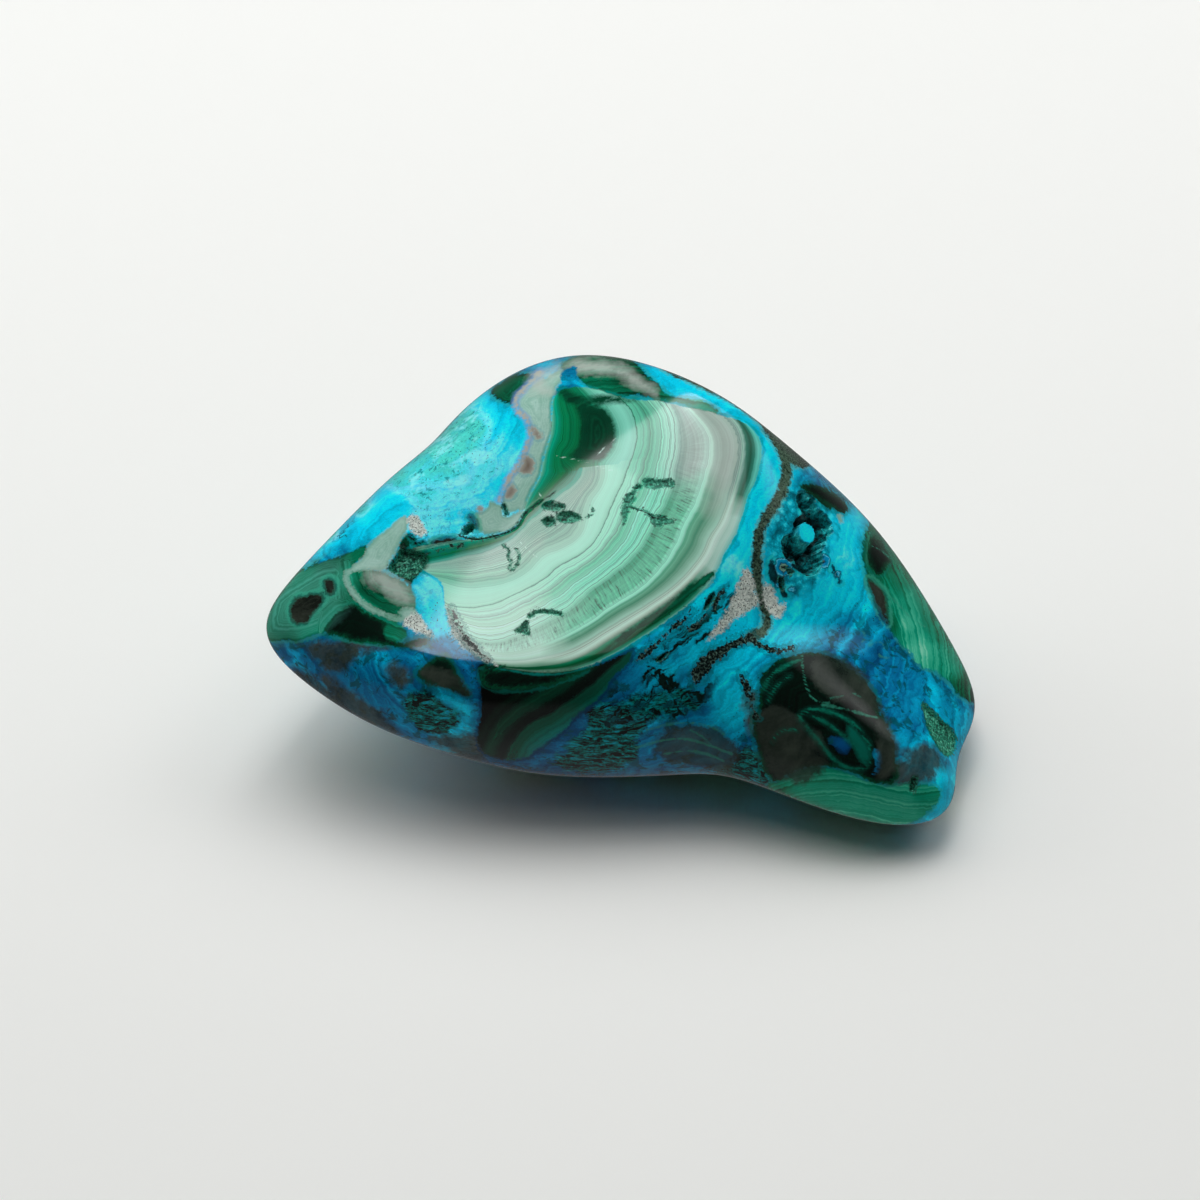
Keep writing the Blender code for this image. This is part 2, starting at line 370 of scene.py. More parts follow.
# The vug in the right shoulder, seen square to the polish: its place as a direction from the core, then lumps of
# empty space and the botryoidal knobs left on its walls as right, up, out and radius in mm, and the column. The
# mesh is finer within its reach, and a point over it falls this much at a time.
VUG_PLACE = (1, 24)
VUG_REACH = 6.4
VUG_FALL = 0.08
VUG_LUMPS = (
    (0.0, -0.4, -1.6, 3.1),
    (3.1, 2.5, -0.7, 2.0),
    (3.0, -0.6, -1.2, 2.2),
    (-2.4, -2.6, -0.9, 2.5),
    (-3.4, -0.5, -0.6, 2.1),
    (0.6, 0.8, -3.4, 2.3),
)
VUG_KNOBS = (
    (2.6, 1.3, -2.9, 1.0),
    (-1.4, -3.4, -3.3, 1.2),
    (-4.6, -2.0, -2.1, 0.9),
    (1.9, -2.4, -3.2, 1.0),
    (-2.2, 1.2, -2.9, 1.1),
    (4.6, 3.4, -1.6, 0.7),
    (3.8, -2.0, -2.4, 0.8),
)
COLUMN_FOOT = np.array([-1.5, -1.1, -5.5])
COLUMN_HEAD = np.array([0.1, 0.3, 2.0])
COLUMN_RADII = (1.7, 1.2)


def finer(cage, chosen):
    """Splits the cage's chosen faces in four."""
    cage.faces.ensure_lookup_table()
    edges = {edge for index in chosen for edge in cage.faces[index].edges}
    bmesh.ops.subdivide_edges(cage, edges=list(edges), cuts=1, use_grid_fill=True)


def face_middles(mesh):
    return numbers(mesh.polygons, "center") / MM, numbers(mesh.polygons, "normal")


# The faces that the picture shows, and a few past its edge, are split twice, and those round the vug and the
# breaks once or twice again, to so many pixels from them.
PAST_EDGE = -0.08
NEAR_BREAK = 2.5
cage = direction_cage(CAGE_CELLS)
for level in range(2):
    finer(cage, np.flatnonzero(turned_to_view(*face_middles(ground(cage))) > PAST_EDGE))

rough_mesh = ground(cage)
points = numbers(rough_mesh.vertices, "co") / MM
way = np.array(direction(*VUG_PLACE))
ways = points - CORE
ways /= np.linalg.norm(ways, axis=1)[:, None]
close = (ways @ way).argsort()[-12:]
vug_middle = points[close].mean(0)
vug_out = numbers(rough_mesh.vertices, "normal")[close].mean(0)
vug_out /= np.linalg.norm(vug_out)
vug_right = np.cross([0, 0, 1], vug_out)
vug_right /= np.linalg.norm(vug_right)
vug_up = np.cross(vug_out, vug_right)

for level in range(2):
    middles, normals = face_middles(ground(cage))
    places = picture_place(middles)
    seen = turned_to_view(middles, normals) > 0
    near_vug = np.linalg.norm(middles - vug_middle, axis=1) < VUG_REACH - level * 0.9
    breaks = shapes_distance(places, [outline for _, outline in BREAKS.values()])
    finer(cage, np.flatnonzero(near_vug | (seen & (abs(breaks) < NEAR_BREAK) & (level == 0))))

stone_mesh = ground(cage)
cage.free()
bpy.data.objects.remove(cage_object)
stone_mesh.name = "stone_polished"
points = numbers(stone_mesh.vertices, "co") / MM
normals = numbers(stone_mesh.vertices, "normal")
places = picture_place(points)
facing = turned_to_view(points, normals)
seen = facing > 0.02


def column_distance(spots):
    """Distance to the tapered column that crosses the vug, negative inside it."""
    axis = COLUMN_HEAD - COLUMN_FOOT
    share = np.clip((spots - COLUMN_FOOT) @ axis / (axis @ axis), 0, 1)
    gap = np.linalg.norm(spots - COLUMN_FOOT - share[:, None] * axis, axis=1)
    return gap - (COLUMN_RADII[0] + (COLUMN_RADII[1] - COLUMN_RADII[0]) * share)


def empty_distance(spots):
    """Distance to the vug's empty space, negative inside it."""
    hollow = np.full(len(spots), 50.0)
    for lump in VUG_LUMPS:
        hollow = np.minimum(hollow, np.linalg.norm(spots - lump[:3], axis=1) - lump[3])
    for knob in VUG_KNOBS:
        hollow = np.maximum(hollow, knob[3] - np.linalg.norm(spots - knob[:3], axis=1))
    return np.maximum(hollow, -column_distance(spots))


# Each point over the vug falls in steps until it meets a wall.
offset = points - vug_middle
in_vug = np.flatnonzero(np.linalg.norm(offset, axis=1) < 8)
spots = np.stack([offset[in_vug] @ vug_right, offset[in_vug] @ vug_up, offset[in_vug] @ vug_out], axis=1)
grain = np.array([noise.noise(Vector(spot * 2.1)) * 0.30 + noise.noise(Vector(spot * 5.3)) * 0.12 for spot in spots])
start = spots[:, 2].copy()
deepest = start.copy()
falling = empty_distance(spots - [0, 0, 0.15]) + grain * 0.5 < 0
for _ in range(90):
    trial = spots.copy()
    trial[:, 2] = deepest - VUG_FALL
    falling &= empty_distance(trial) + grain * 0.9 < 0
    deepest = np.where(falling, deepest - VUG_FALL, deepest)
vug_depth = np.zeros(len(points))
vug_depth[in_vug] = start - deepest
column_top = np.full(len(points), 9.0)
column_top[in_vug] = column_distance(spots)

break_depth = np.zeros(len(points))
broken = np.full(len(points), FAR)
for depth, outline in BREAKS.values():
    distance = np.where(seen, shape_distance(places, outline), FAR)
    broken = np.minimum(broken, distance)
    for index in np.flatnonzero(distance < 1.5):
        ragged = noise.noise(Vector(points[index] * 2.3)) * 0.5 + noise.noise(Vector(points[index] * 6.1)) * 0.3
        share = min(max((0.6 * ragged - distance[index]) / 2.0, 0.0), 1.0)
        break_depth[index] = max(break_depth[index], depth * share * (1.0 + 0.8 * ragged))
moved = points - vug_out * vug_depth[:, None] - normals * break_depth[:, None]
moved[:, 2] = np.maximum(moved[:, 2], 0.0)
stone_mesh.vertices.foreach_set("co", (moved * MM).astype(np.float32).ravel())
stone_mesh.update()

# ---------------------------------------------------------------------------------------------------------
# Stone: its markings.
# Malachite grew in nested shells, so its bands follow lines of growth. Chrysocolla filled the gaps between the
# nodules as veins, cyan where it is pure and deep blue where it is thick, and black and brown oxides stain both.

# Lines of growth of the malachite eye, from the inside out, each from its upper end to its lower left end.
GROWTH = (
    [556,392, 552,400, 552,414, 551,436, 546,449, 543,462, 540,478, 530,494, 524,510, 519,524, 509,532, 495,535,
     482,537, 468,540, 450,543, 430,547, 410,552, 400,556],
    [566,392, 573,402, 579,414, 580,430, 578,445, 572,453, 567,457, 576,461, 583,468, 579,478, 571,486, 560,492,
     549,502, 540,511, 528,520, 520,529, 508,540, 495,546, 480,551, 460,556, 440,561, 420,565, 405,569],
    [590,392, 604,405, 612,415, 617,430, 616,445, 609,455, 601,463, 603,472, 602,482, 597,490, 589,500, 586,512,
     584,522, 580,534, 570,543, 556,549, 543,553, 536,560, 530,568, 520,576, 505,582, 488,585, 470,586, 456,584,
     444,580, 425,576],
    [612,392, 623,402, 631,411, 636,424, 637,440, 634,452, 628,467, 623,480, 617,494, 610,507, 606,521, 599,535,
     590,547, 575,557, 556,567, 547,577, 533,585, 510,597, 490,605, 471,608, 453,607, 440,600],
    [664,396, 673,405, 679,420, 680,440, 678,458, 675,475, 671,492, 664,508, 654,523, 645,545, 626,565, 606,580,
     588,593, 576,606, 563,614, 542,625, 521,637, 493,645, 470,640, 455,628],
    [680,399, 692,411, 702,422, 709,433, 712,446, 711,460, 707,473, 703,486, 699,499, 693,512, 684,527, 680,541,
     670,559, 655,577, 643,589, 626,599, 608,610, 597,619, 577,631, 559,640, 542,646, 524,652, 500,655, 478,648],
    [700,402, 718,411, 731,422, 738,436, 739,452, 735,471, 730,488, 725,506, 718,523, 708,536, 702,552, 688,570,
     672,586, 650,601, 628,614, 608,626, 586,640, 567,650, 545,656, 520,661, 495,660],
    [706,404, 724,412, 738,423, 744,438, 744,454, 741,472, 736,490, 731,508, 725,524, 716,538, 709,556, 694,576,
     676,593, 654,609, 632,623, 610,637, 588,652, 567,661, 545,665, 520,667, 498,665],
    [712,402, 735,412, 752,426, 760,438, 762,451, 760,468, 755,484, 748,495, 745,508, 741,520, 737,532, 730,545,
     723,556, 719,568, 712,580, 703,590, 690,603, 672,617, 650,632, 630,645, 610,656, 592,664, 573,670, 553,673,
     535,673, 515,670, 498,668],
)


def drawn_on(line, length=160.0):
    """A line with both its ends drawn straight on."""
    line = rounded(line, False)
    head = line[0] - line[1]
    tail = line[-1] - line[-2]
    first = line[0] + head / np.hypot(*head) * length
    last = line[-1] + tail / np.hypot(*tail) * length
    return np.concatenate([[first], line, [last]])


sides = []
for line in GROWTH:
    apart, side, along, _ = nearest_on(places, drawn_on(line), False)
    sides.append(-apart * side)
    if line is GROWTH[5]:
        eye_along = along
eye_growth = np.zeros(len(points))
for inner, outer in zip(sides[:-1], sides[1:]):
    past = np.maximum(inner, 0)
    still = np.maximum(-outer, 0)
    eye_growth += past / (past + still + 1e-6)
eye_growth += np.minimum(sides[0], 0) / 40 + np.maximum(sides[-1], 0) / 20


def disc(x, y, radius):
    """A round outline."""
    return [(x + radius * math.cos(turn), y + radius * math.sin(turn)) for turn in np.arange(8) * math.pi / 4]


# Each kind of mineral as outlines, x, y, x, y and so on, or as strokes, a half width and then a line.
MARKINGS = {
    # The malachite eye on the broad face.
    "eye": [
        [552,398, 562,389, 580,386, 600,390, 615,396, 635,400, 655,400, 672,404, 690,408, 707,411, 722,416, 740,420,
         752,428, 760,438, 762,451, 760,468, 755,484, 748,495, 745,508, 741,520, 737,532, 730,545, 723,556, 719,568,
         712,580, 703,590, 690,603, 672,617, 650,632, 630,645, 610,656, 592,664, 573,670, 553,673, 535,673, 515,670,
         500,667, 488,662, 476,652, 464,641, 455,630, 449,620, 445,606, 444,594, 443,584, 436,577, 424,571, 412,563,
         402,553, 412,548, 430,545, 450,541, 468,539, 482,537, 495,535, 509,532, 519,524, 524,510, 530,494, 540,478,
         543,462, 546,449, 551,436, 552,414],
    ],
    # Green malachite outside the eye.
    "green": [
        [262,640, 262,600, 283,580, 320,560, 336,557, 352,550, 366,543, 368,556, 352,566, 350,580, 352,606, 340,625,
         320,634, 300,641, 275,640],
        [322,632, 340,610, 344,573, 352,566, 385,571, 415,590, 417,612, 395,622, 407,640, 385,645, 355,642],
        [488,391, 503,380, 514,374, 530,374, 538,376, 527,386, 517,392, 513,406, 505,402, 497,399],
        [560,362, 590,352, 622,354, 634,360, 644,370, 655,382, 668,394, 680,402, 660,403, 640,394, 620,398, 600,398,
         586,386, 576,376, 562,372],
        [676,398, 690,398, 706,402, 718,409, 719,415, 708,414, 692,410, 680,405],
        [868,526, 864,538, 862,554, 864,573, 871,592, 884,614, 898,641, 911,653, 922,668, 934,671, 950,682, 960,699,
         985,706, 985,650, 930,560, 900,520, 880,505],
        [764,786, 780,779, 794,772, 815,765, 848,772, 877,786, 898,786, 912,784, 930,784, 943,790, 930,815, 890,830,
         830,820, 776,800],
    ],
    # The field below it, which bands of green and brown cross.
    "front": [
        [478,660, 511,668, 550,673, 580,671, 598,665, 617,657, 634,648, 632,660, 614,676, 603,693, 595,702, 574,717,
         564,731, 543,745, 526,759, 500,761, 480,752, 476,735, 482,715, 482,695, 479,678],
    ],
    # Near black malachite and oxides.
    "dark": [
        [580,404, 592,404, 604,408, 612,416, 616,430, 615,444, 608,454, 601,461, 592,461, 576,459, 566,456, 573,452,
         579,445, 580,430, 579,414, 572,404],
        [586,398, 600,394, 622,397, 640,399, 630,402, 604,404, 570,405, 562,398, 556,390, 566,388, 576,394],
        [322,634, 328,622, 338,612, 350,604, 360,606, 370,614, 384,620, 388,624, 386,632, 388,640, 400,643, 412,641,
         424,636, 432,640, 424,647, 405,648, 388,645, 370,642, 355,641, 340,638],
        [428,665, 434,658, 444,654, 451,661, 458,674, 463,683, 472,697, 461,693, 446,688, 430,684, 420,680, 414,672],
        [482,667, 511,668, 550,673, 579,670, 590,668, 576,676, 564,679, 550,686, 531,689, 502,691, 484,686, 479,677],
        [760,673, 771,664, 785,657, 797,653, 815,652, 828,654, 841,662, 855,674, 869,684, 877,697, 880,715, 888,725,
         894,745, 896,765, 898,784, 877,785, 848,770, 815,764, 794,771, 775,784, 768,775, 760,760, 754,740, 752,722,
         757,706, 760,690],
        [872,532, 882,543, 891,557, 886,570, 880,576, 870,570, 866,558, 867,542],
        [800,483, 818,484, 834,491, 846,501, 849,510, 843,514, 828,509, 815,498, 803,490],
        [387,568, 397,556, 399,542, 406,535, 411,547, 421,551, 430,548, 430,563, 420,575, 411,583, 404,580, 394,573],
        [610,644, 621,635, 636,625, 654,612, 674,598, 692,582, 698,579, 690,590, 672,606, 650,620, 632,631, 620,640,
         606,652, 598,657],
    ],
    # Brown oxide stain, which the polish turns mauve under the light.
    "umber": [
        [290,611, 292,603, 298,596, 305,597, 312,594, 321,594, 324,599, 321,605, 314,610, 310,616, 307,623, 298,625,
         292,620],
        [323,583, 326,579, 333,579, 336,587, 333,594, 328,595, 326,589],
        [432,540, 453,537, 457,540, 447,544, 434,547],
        [467,516, 473,515, 478,523, 477,531, 473,523],
        [867,576, 877,585, 886,594, 887,612, 889,628, 880,612, 872,594],
    ],
    # Painted reflection of the dim floor: soft grey brown clouds over the deep blue on the faces that turn down.
    "cloud": [
        [303,643, 330,640, 359,637, 362,648, 350,663, 344,674, 330,670, 318,662, 305,654],
        [290,662, 324,683, 352,699, 372,708, 384,718, 389,732, 362,728, 333,712, 300,690],
        [426,734, 445,736, 470,730, 484,738, 490,760, 470,764, 450,756],
        [386,668, 396,662, 408,668, 414,682, 402,690, 392,684],
        [330,640, 370,642, 392,648, 380,652, 350,648],
        [908,750, 929,741, 944,758, 940,772, 924,784, 900,792, 880,786, 896,770],
        [742,690, 756,690, 760,716, 752,740, 744,720],
        [322,672, 345,686, 370,702, 392,720, 404,740, 372,730, 345,710, 320,690],
    ],
    # Painted reflection over the black lobe of the toe and the front faces that turn down: grey brown, the
    # softbox's soft patch on the toe and the dim floor mirrored below.
    "smoky": [
        [820,652, 840,656, 862,672, 878,692, 884,714, 862,710, 842,702, 826,696, 814,682, 812,664],
        [756,712, 775,703, 800,716, 822,738, 830,762, 812,782, 785,784, 768,768, 754,740],
        [417,672, 430,668, 446,670, 462,678, 471,696, 458,692, 444,687, 430,683],
        [874,718, 890,722, 898,750, 892,780, 874,778, 880,750],
        [656,740, 668,728, 690,722, 715,726, 730,737, 740,756, 736,770, 715,773, 690,767, 668,761, 652,752],
    ],
    # Pale mauve clouds in the malachite, and painted reflection: the soft pale patch on the nose top and the
    # pale streaks along the top ridge, where the light is mirrored.
    "haze": [
        [681,420, 692,414, 702,422, 708,432, 709,446, 706,462, 700,478, 682,478, 680,458, 681,438],
        [712,424, 724,426, 734,436, 738,450, 736,468, 730,490, 722,512, 708,522, 702,516, 708,498, 712,478, 716,460,
         718,444],
        [366,571, 385,571, 396,578, 407,589, 415,597, 410,606, 396,600, 380,588, 368,580],
        [452,560, 470,548, 500,545, 528,540, 545,536, 540,552, 515,576, 480,582, 456,576],
        [552,520, 580,505, 592,490, 600,474, 596,466, 584,478, 570,492, 556,500, 540,512],
        [562,366, 580,360, 606,361, 628,368, 648,384, 660,396, 644,390, 620,376, 596,371, 572,374],
        [530,376, 550,366, 562,364, 556,376, 544,384, 556,392, 540,396, 526,390],
    ],
    # Fibrous malachite that has gone pale towards the lower left.
    "pale": [[455,600, 500,600, 545,588, 575,590, 588,604, 575,634, 545,650, 505,660, 474,640]],
    # The crust between the sage malachite and the turquoise.
    "crust": [
        (1.8, [540,372, 524,389, 515,398, 516,408, 523,415, 529,424, 531,434, 528,443, 525,452, 522,459, 518,468,
               511,474, 507,483, 503,492, 499,500]),
    ],
    # Pale sage malachite, and on the nose a painted highlight: the pale patch and the arc along its ridge, where the
    # softbox is mirrored.
    "sage": [
        [524,389, 515,398, 516,408, 523,415, 529,424, 530,434, 527,443, 524,452, 521,459, 518,468, 511,474, 507,483,
         503,492, 500,499, 504,506, 508,512, 514,512, 519,508, 522,514, 524,510, 530,494, 540,478, 543,462, 546,449,
         551,436, 552,414, 552,398, 556,388, 566,376, 562,368, 551,374, 538,382],
        [474,513, 482,512, 489,508, 490,500, 495,503, 501,504, 504,510, 503,515, 508,518, 513,515, 519,512, 523,513,
         519,523, 510,531, 495,534, 484,535, 478,531, 477,523],
        [342,577, 352,566, 366,555, 367,546, 376,537, 387,530, 398,518, 407,514, 408,529, 405,535, 400,540, 397,550,
         389,564, 384,571, 366,569, 353,572],
        (2.6, [347,572, 345,580, 351,590, 359,600, 370,609, 384,614, 398,619, 412,620]),
        [395,612, 408,606, 420,613, 428,626, 418,628, 405,622],
        [558,664, 573,661, 592,655, 606,650, 617,643, 640,630, 664,616, 684,600, 704,583, 716,571, 712,582, 700,595,
         680,611, 656,627, 632,643, 610,655, 592,664, 573,669],
        (2.0, [839,516, 841,521]),
    ],
    # Grey, granular chrysocolla with black specks.
    "grey": [
        [746,566, 751,573, 757,590, 760,606, 746,613, 728,624, 714,640, 704,643, 714,628, 727,611, 736,588],
        [762,581, 773,586, 776,597, 779,605, 786,602, 786,610, 780,620, 769,616, 763,600],
        [445,603, 451,611, 456,624, 468,638, 480,650, 492,660, 500,667, 484,661, 470,652, 456,640, 448,626],
        [400,622, 417,611, 424,622, 436,637, 425,638, 412,630],
        [407,516, 418,514, 426,529, 423,538, 410,531],
    ],
    # Dark, granular olive vein.
    "olive": [
        (3.2, [664,367, 700,385, 734,400, 760,420, 784,442]),
        (5.0, [770,428, 780,446, 786,460, 787,475, 781,496, 768,514, 760,528, 758,545, 757,562, 756,575, 760,592,
               765,606, 768,621, 763,632, 750,638]),
        [757,419, 776,428, 800,446, 816,460, 808,468, 796,468, 786,462, 776,450, 764,432],
    ],
    # Chrysocolla that fills gaps inside the dark fields.
    "blue_over": [
        [411,587, 416,577, 425,573, 435,577, 442,583, 446,594, 445,603, 445,615, 447,627, 446,635, 437,637, 428,629,
         421,618, 416,610, 416,598],
        [559,372, 577,363, 577,377, 583,385, 602,395, 588,397, 577,392, 562,385],
        [826,736, 841,737, 848,742, 840,748, 830,747],
        [811,477, 821,478, 829,485, 824,488, 815,483],
        [316,565, 331,551, 345,540, 359,528, 376,518, 394,505, 411,502, 418,511, 404,514, 392,523, 376,537, 366,543,
         352,551, 336,557, 324,560],
        [870,748, 882,750, 882,772, 870,776, 876,764],
    ],
    # Bright green malachite patches.
    "bright": [
        [596,376, 612,374, 632,380, 640,388, 628,393, 606,392, 596,386],
        [383,627, 394,623, 406,628, 408,639, 385,639],
        [481,664, 509,665, 500,669, 484,670],
        [893,558, 906,570, 930,592, 944,622, 922,625, 905,608, 885,588],
        [717,570, 713,578, 696,592, 675,608, 652,622, 636,632, 622,643, 610,650, 614,642, 630,630, 650,617, 674,599,
         696,582, 708,572],
        [921,699, 931,709, 943,720, 956,733, 958,744, 949,760, 939,750, 929,733, 924,717],
    ],
    # Brown beads in the pale malachite, each with a blue shell.
    "bead": [
        [539,431, 543,436, 541,441, 536,440, 532,433, 529,425, 533,426],
        [528,454, 534,459, 535,468, 530,475, 522,475, 518,471, 523,464, 522,457],
        [511,483, 516,487, 516,494, 511,499, 505,500, 504,494, 508,488],
        [478,507, 482,507, 483,511, 479,512, 477,510],
    ],
    # Black growths with a salt of pale grains.
    "gritty": [
        [751,632, 735,640, 718,646, 704,654, 696,664, 690,680, 698,686, 706,676, 713,664, 724,655, 738,647, 752,640],
        (2.2, [640,658, 652,648, 664,636, 678,624, 690,612]),
        (2.6, [690,630, 704,618, 714,606, 722,592]),
        (3.0, [742,676, 748,690, 752,704, 756,716]),
        (2.0, [452,610, 462,632, 474,648, 488,660]),
        (1.6, [430,552, 446,548, 462,545]),
        (2.4, [752,640, 764,648, 776,652, 792,648]),
    ],
    # Where black growth is drawn out along the blue veins.
    "drawn_out": [
        [604,700, 628,672, 655,650, 684,628, 708,604, 730,584, 742,596, 724,622, 712,646, 712,690, 700,716, 664,722,
         630,730, 606,722],
        [300,560, 330,536, 356,516, 350,540, 322,562],
    ],
    # The ring in the black lobe of the toe, and the thin teal lines that cross it.
    "rings": [
        (1.3, [799,715, 808,709, 820,709, 834,713, 848,719, 860,730, 869,744, 872,758, 868,768, 856,770, 840,765,
               828,754, 818,740, 806,727, 799,716]),
        (1.0, [812,716, 826,722, 842,734, 854,746]),
        (1.0, [772,742, 776,734, 784,730, 796,730]),
        (1.6, [762,690, 770,676, 784,666, 800,660]),
        (1.2, [768,702, 776,686, 790,676]),
    ],
    "ring_heart": [[846,722, 860,734, 869,748, 871,762, 862,768, 856,752, 848,736]],
    "ring_blue": [[834,738, 844,738, 851,746, 846,754, 836,750]],
    # Drusy growth round the vug, and the hollows in it, painted near black as the shade inside them.
    "druse": [
        [776,498, 794,488, 816,490, 832,508, 834,528, 832,556, 820,578, 796,600, 774,594, 766,566, 768,540, 770,518],
    ],
    "hollow": [
        [799,502, 806,499, 813,508, 823,514, 829,522, 824,528, 815,522, 806,519, 800,512],
        [786,549, 794,546, 802,545, 809,547, 802,552, 797,560, 790,562, 784,557],
        [812,537, 820,532, 828,530, 830,535, 822,541, 814,543],
        [791,563, 800,562, 812,567, 818,572, 808,575, 796,571],
        [768,562, 773,557, 776,568, 778,584, 773,588, 769,576],
        [779,588, 786,586, 788,596, 782,598],
        (1.4, [833,566, 836,574, 840,582]),
    ],
    # Thin teal veins through the dark and the green fields.
    "threads": [
        (1.0, [802,656, 803,672, 806,688, 813,699, 824,705, 840,708, 856,712, 878,718]),
        (0.8, [822,705, 832,697, 842,697, 852,692, 862,698]),
        (0.9, [636,748, 662,740, 684,738, 706,744, 732,754]),
        (0.7, [646,730, 668,724, 694,722, 716,728, 728,738]),
        (0.7, [664,754, 688,750, 708,754, 726,762]),
        (0.6, [690,730, 702,736, 712,746]),
        (0.8, [866,574, 876,583, 886,592, 896,602, 904,611, 914,620, 925,627]),
        (0.6, [870,532, 867,546, 866,560, 870,574]),
        (0.5, [869,545, 880,549, 889,557]),
        (0.6, [336,569, 338,580, 343,588, 349,601]),
        (0.5, [441,491, 446,503, 449,513, 451,522]),
        (0.7, [872,640, 866,648, 880,640, 886,650, 876,656, 890,658]),
        (0.6, [858,628, 866,634, 862,642]),
    ],
    # Small round growths by the vug, cut across.
    "eyelets": [
        disc(783, 567, 10.5), disc(824, 561, 7.5), disc(779, 584, 6.0), disc(792, 590, 4.5), disc(838, 574, 5.0),
    ],
    # A thin grey green film laid over the left of the nose, striped along the bands.
    "misty": [[262,640, 262,600, 283,580, 320,562, 346,556, 346,578, 344,600, 330,622, 300,640]],
    # Scratches that catch the light.
    "scratches": [
        (0.3, [556,456, 578,460, 597,466, 614,471]),
        (0.3, [518,540, 530,552, 538,558]),
        (0.3, [529,480, 535,488, 541,496]),
        (0.3, [597,455, 606,446, 618,437]),
    ],
    # Where black specks crowd together.
    "specks": [
        [440,412, 470,410, 500,420, 502,450, 470,460, 440,475, 425,480, 420,450],
        [850,600, 866,598, 880,610, 878,625, 864,624, 852,614],
        [826,622, 846,618, 850,634, 836,640, 826,634],
        [426,594, 446,600, 446,630, 432,626, 424,610],
        [640,600, 700,600, 756,640, 740,650, 690,640, 650,660],
        [742,668, 764,672, 762,720, 768,770, 740,770, 734,720],
        [405,500, 430,495, 440,530, 420,535],
        [812,690, 824,698, 866,722, 862,728, 832,712, 808,702],
        [446,604, 462,640, 500,690, 486,740, 470,700, 452,650],
    ],
    # Teal and black growth mixed through each other.
    "mottled": [
        [583,709, 607,704, 629,697, 652,690, 690,688, 704,696, 700,712, 664,716, 648,726, 636,738, 640,752, 629,768,
         598,773, 564,771, 552,762, 564,750, 579,737, 586,721],
        [748,742, 764,760, 776,782, 760,788, 730,786, 700,780, 728,764],
        [408,690, 424,694, 440,700, 456,708, 462,722, 450,734, 430,736, 410,724, 402,706],
        [399,540, 408,531, 423,540, 431,540, 436,548, 426,552, 404,549, 390,564],
        [409,577, 418,576, 422,592, 420,606, 412,600],
    ],
}

# Where the tone of the blue is known, as x, y and tone: from 0, deep blue, through 0.5, cyan, to 1, turquoise.
BLUE_TONES = (
    470,430,1.0, 440,460,0.95, 450,440,1.0, 495,400,0.62, 510,410,0.48, 522,430,0.45, 505,450,0.72, 490,470,0.85,
    502,482,0.62, 470,480,0.88, 420,490,0.85, 430,510,0.78, 465,495,0.8, 482,490,0.72, 457,517,0.74, 352,530,0.42,
    335,550,0.36, 375,517,0.46, 395,505,0.5, 400,480,0.95, 360,505,1.0, 330,535,0.95, 425,588,0.74, 440,620,0.62,
    435,632,0.5, 440,645,0.1, 462,668,0.08, 477,700,0.2, 400,665,0.2, 380,650,0.28, 370,680,0.14, 420,700,0.2,
    400,700,0.14, 440,725,0.42, 460,712,0.44, 450,742,0.36, 420,737,0.12, 290,650,0.2, 330,675,0.14, 450,692,0.36,
    480,760,0.14, 520,765,0.08, 700,392,0.5, 750,422,0.5, 772,462,0.5, 760,500,0.48, 742,545,0.56, 735,565,0.7,
    725,590,0.5, 710,618,0.46, 690,642,0.42, 665,668,0.38, 640,682,0.22, 620,690,0.14, 600,706,0.08, 570,727,0.06,
    535,757,0.1, 530,362,0.36, 570,376,0.32, 590,392,0.42, 790,500,0.45, 780,530,0.42, 775,560,0.46, 852,530,0.6,
    846,560,0.66, 830,582,0.56, 800,602,0.5, 820,617,0.42, 790,625,0.52, 852,622,0.28, 870,660,0.12, 890,690,0.16,
    900,720,0.18, 920,682,0.22, 945,700,0.3, 905,752,0.38, 955,690,0.3, 850,600,0.52, 840,642,0.22, 760,652,0.42,
    735,682,0.42, 720,702,0.46, 740,690,0.46, 700,702,0.16, 670,702,0.14, 650,702,0.3, 765,770,0.16, 740,762,0.24,
    650,766,0.14, 840,742,0.1, 957,752,0.36, 945,782,0.55, 820,480,0.3, 877,760,0.3, 660,655,0.3, 680,625,0.34,
)
# Where the tone of the green is known: from 0, black, through 0.5, full green, to 1, pale mint.
GREEN_TONES = (
    285,640,0.45, 300,580,0.5, 345,578,0.55, 330,612,0.56, 312,634,0.66, 275,620,0.5, 350,598,0.42, 368,590,0.3,
    360,600,0.55, 600,380,0.42, 622,366,0.3, 540,380,0.4, 500,390,0.36, 645,366,0.3, 700,386,0.25, 700,406,0.6,
    690,402,0.5, 880,560,0.34, 900,580,0.5, 912,600,0.62, 905,560,0.48, 925,590,0.62, 940,620,0.68, 905,622,0.76,
    922,650,0.78, 893,624,0.4, 935,618,0.5, 950,662,0.62, 960,694,0.35, 945,632,0.5, 800,786,0.62, 850,797,0.64,
    900,802,0.68, 930,800,0.6, 780,790,0.5, 550,692,0.25, 520,715,0.3, 560,712,0.34, 600,680,0.32, 490,700,0.12,
    500,745,0.3, 535,740,0.42, 435,708,0.4, 370,715,0.4, 330,560,0.35, 395,632,0.5,
)


def toned(anchors, spread=14.0):
    """A tone for each point, settled by the known places near it."""
    total = np.zeros(len(places))
    weight = np.zeros(len(places))
    for x, y, tone in np.reshape(anchors, (-1, 3)):
        pull = 1.0 / ((places[:, 0] - x) ** 2 + (places[:, 1] - y) ** 2 + spread) ** 1.6
        total += tone * pull
        weight += pull
    return total / weight


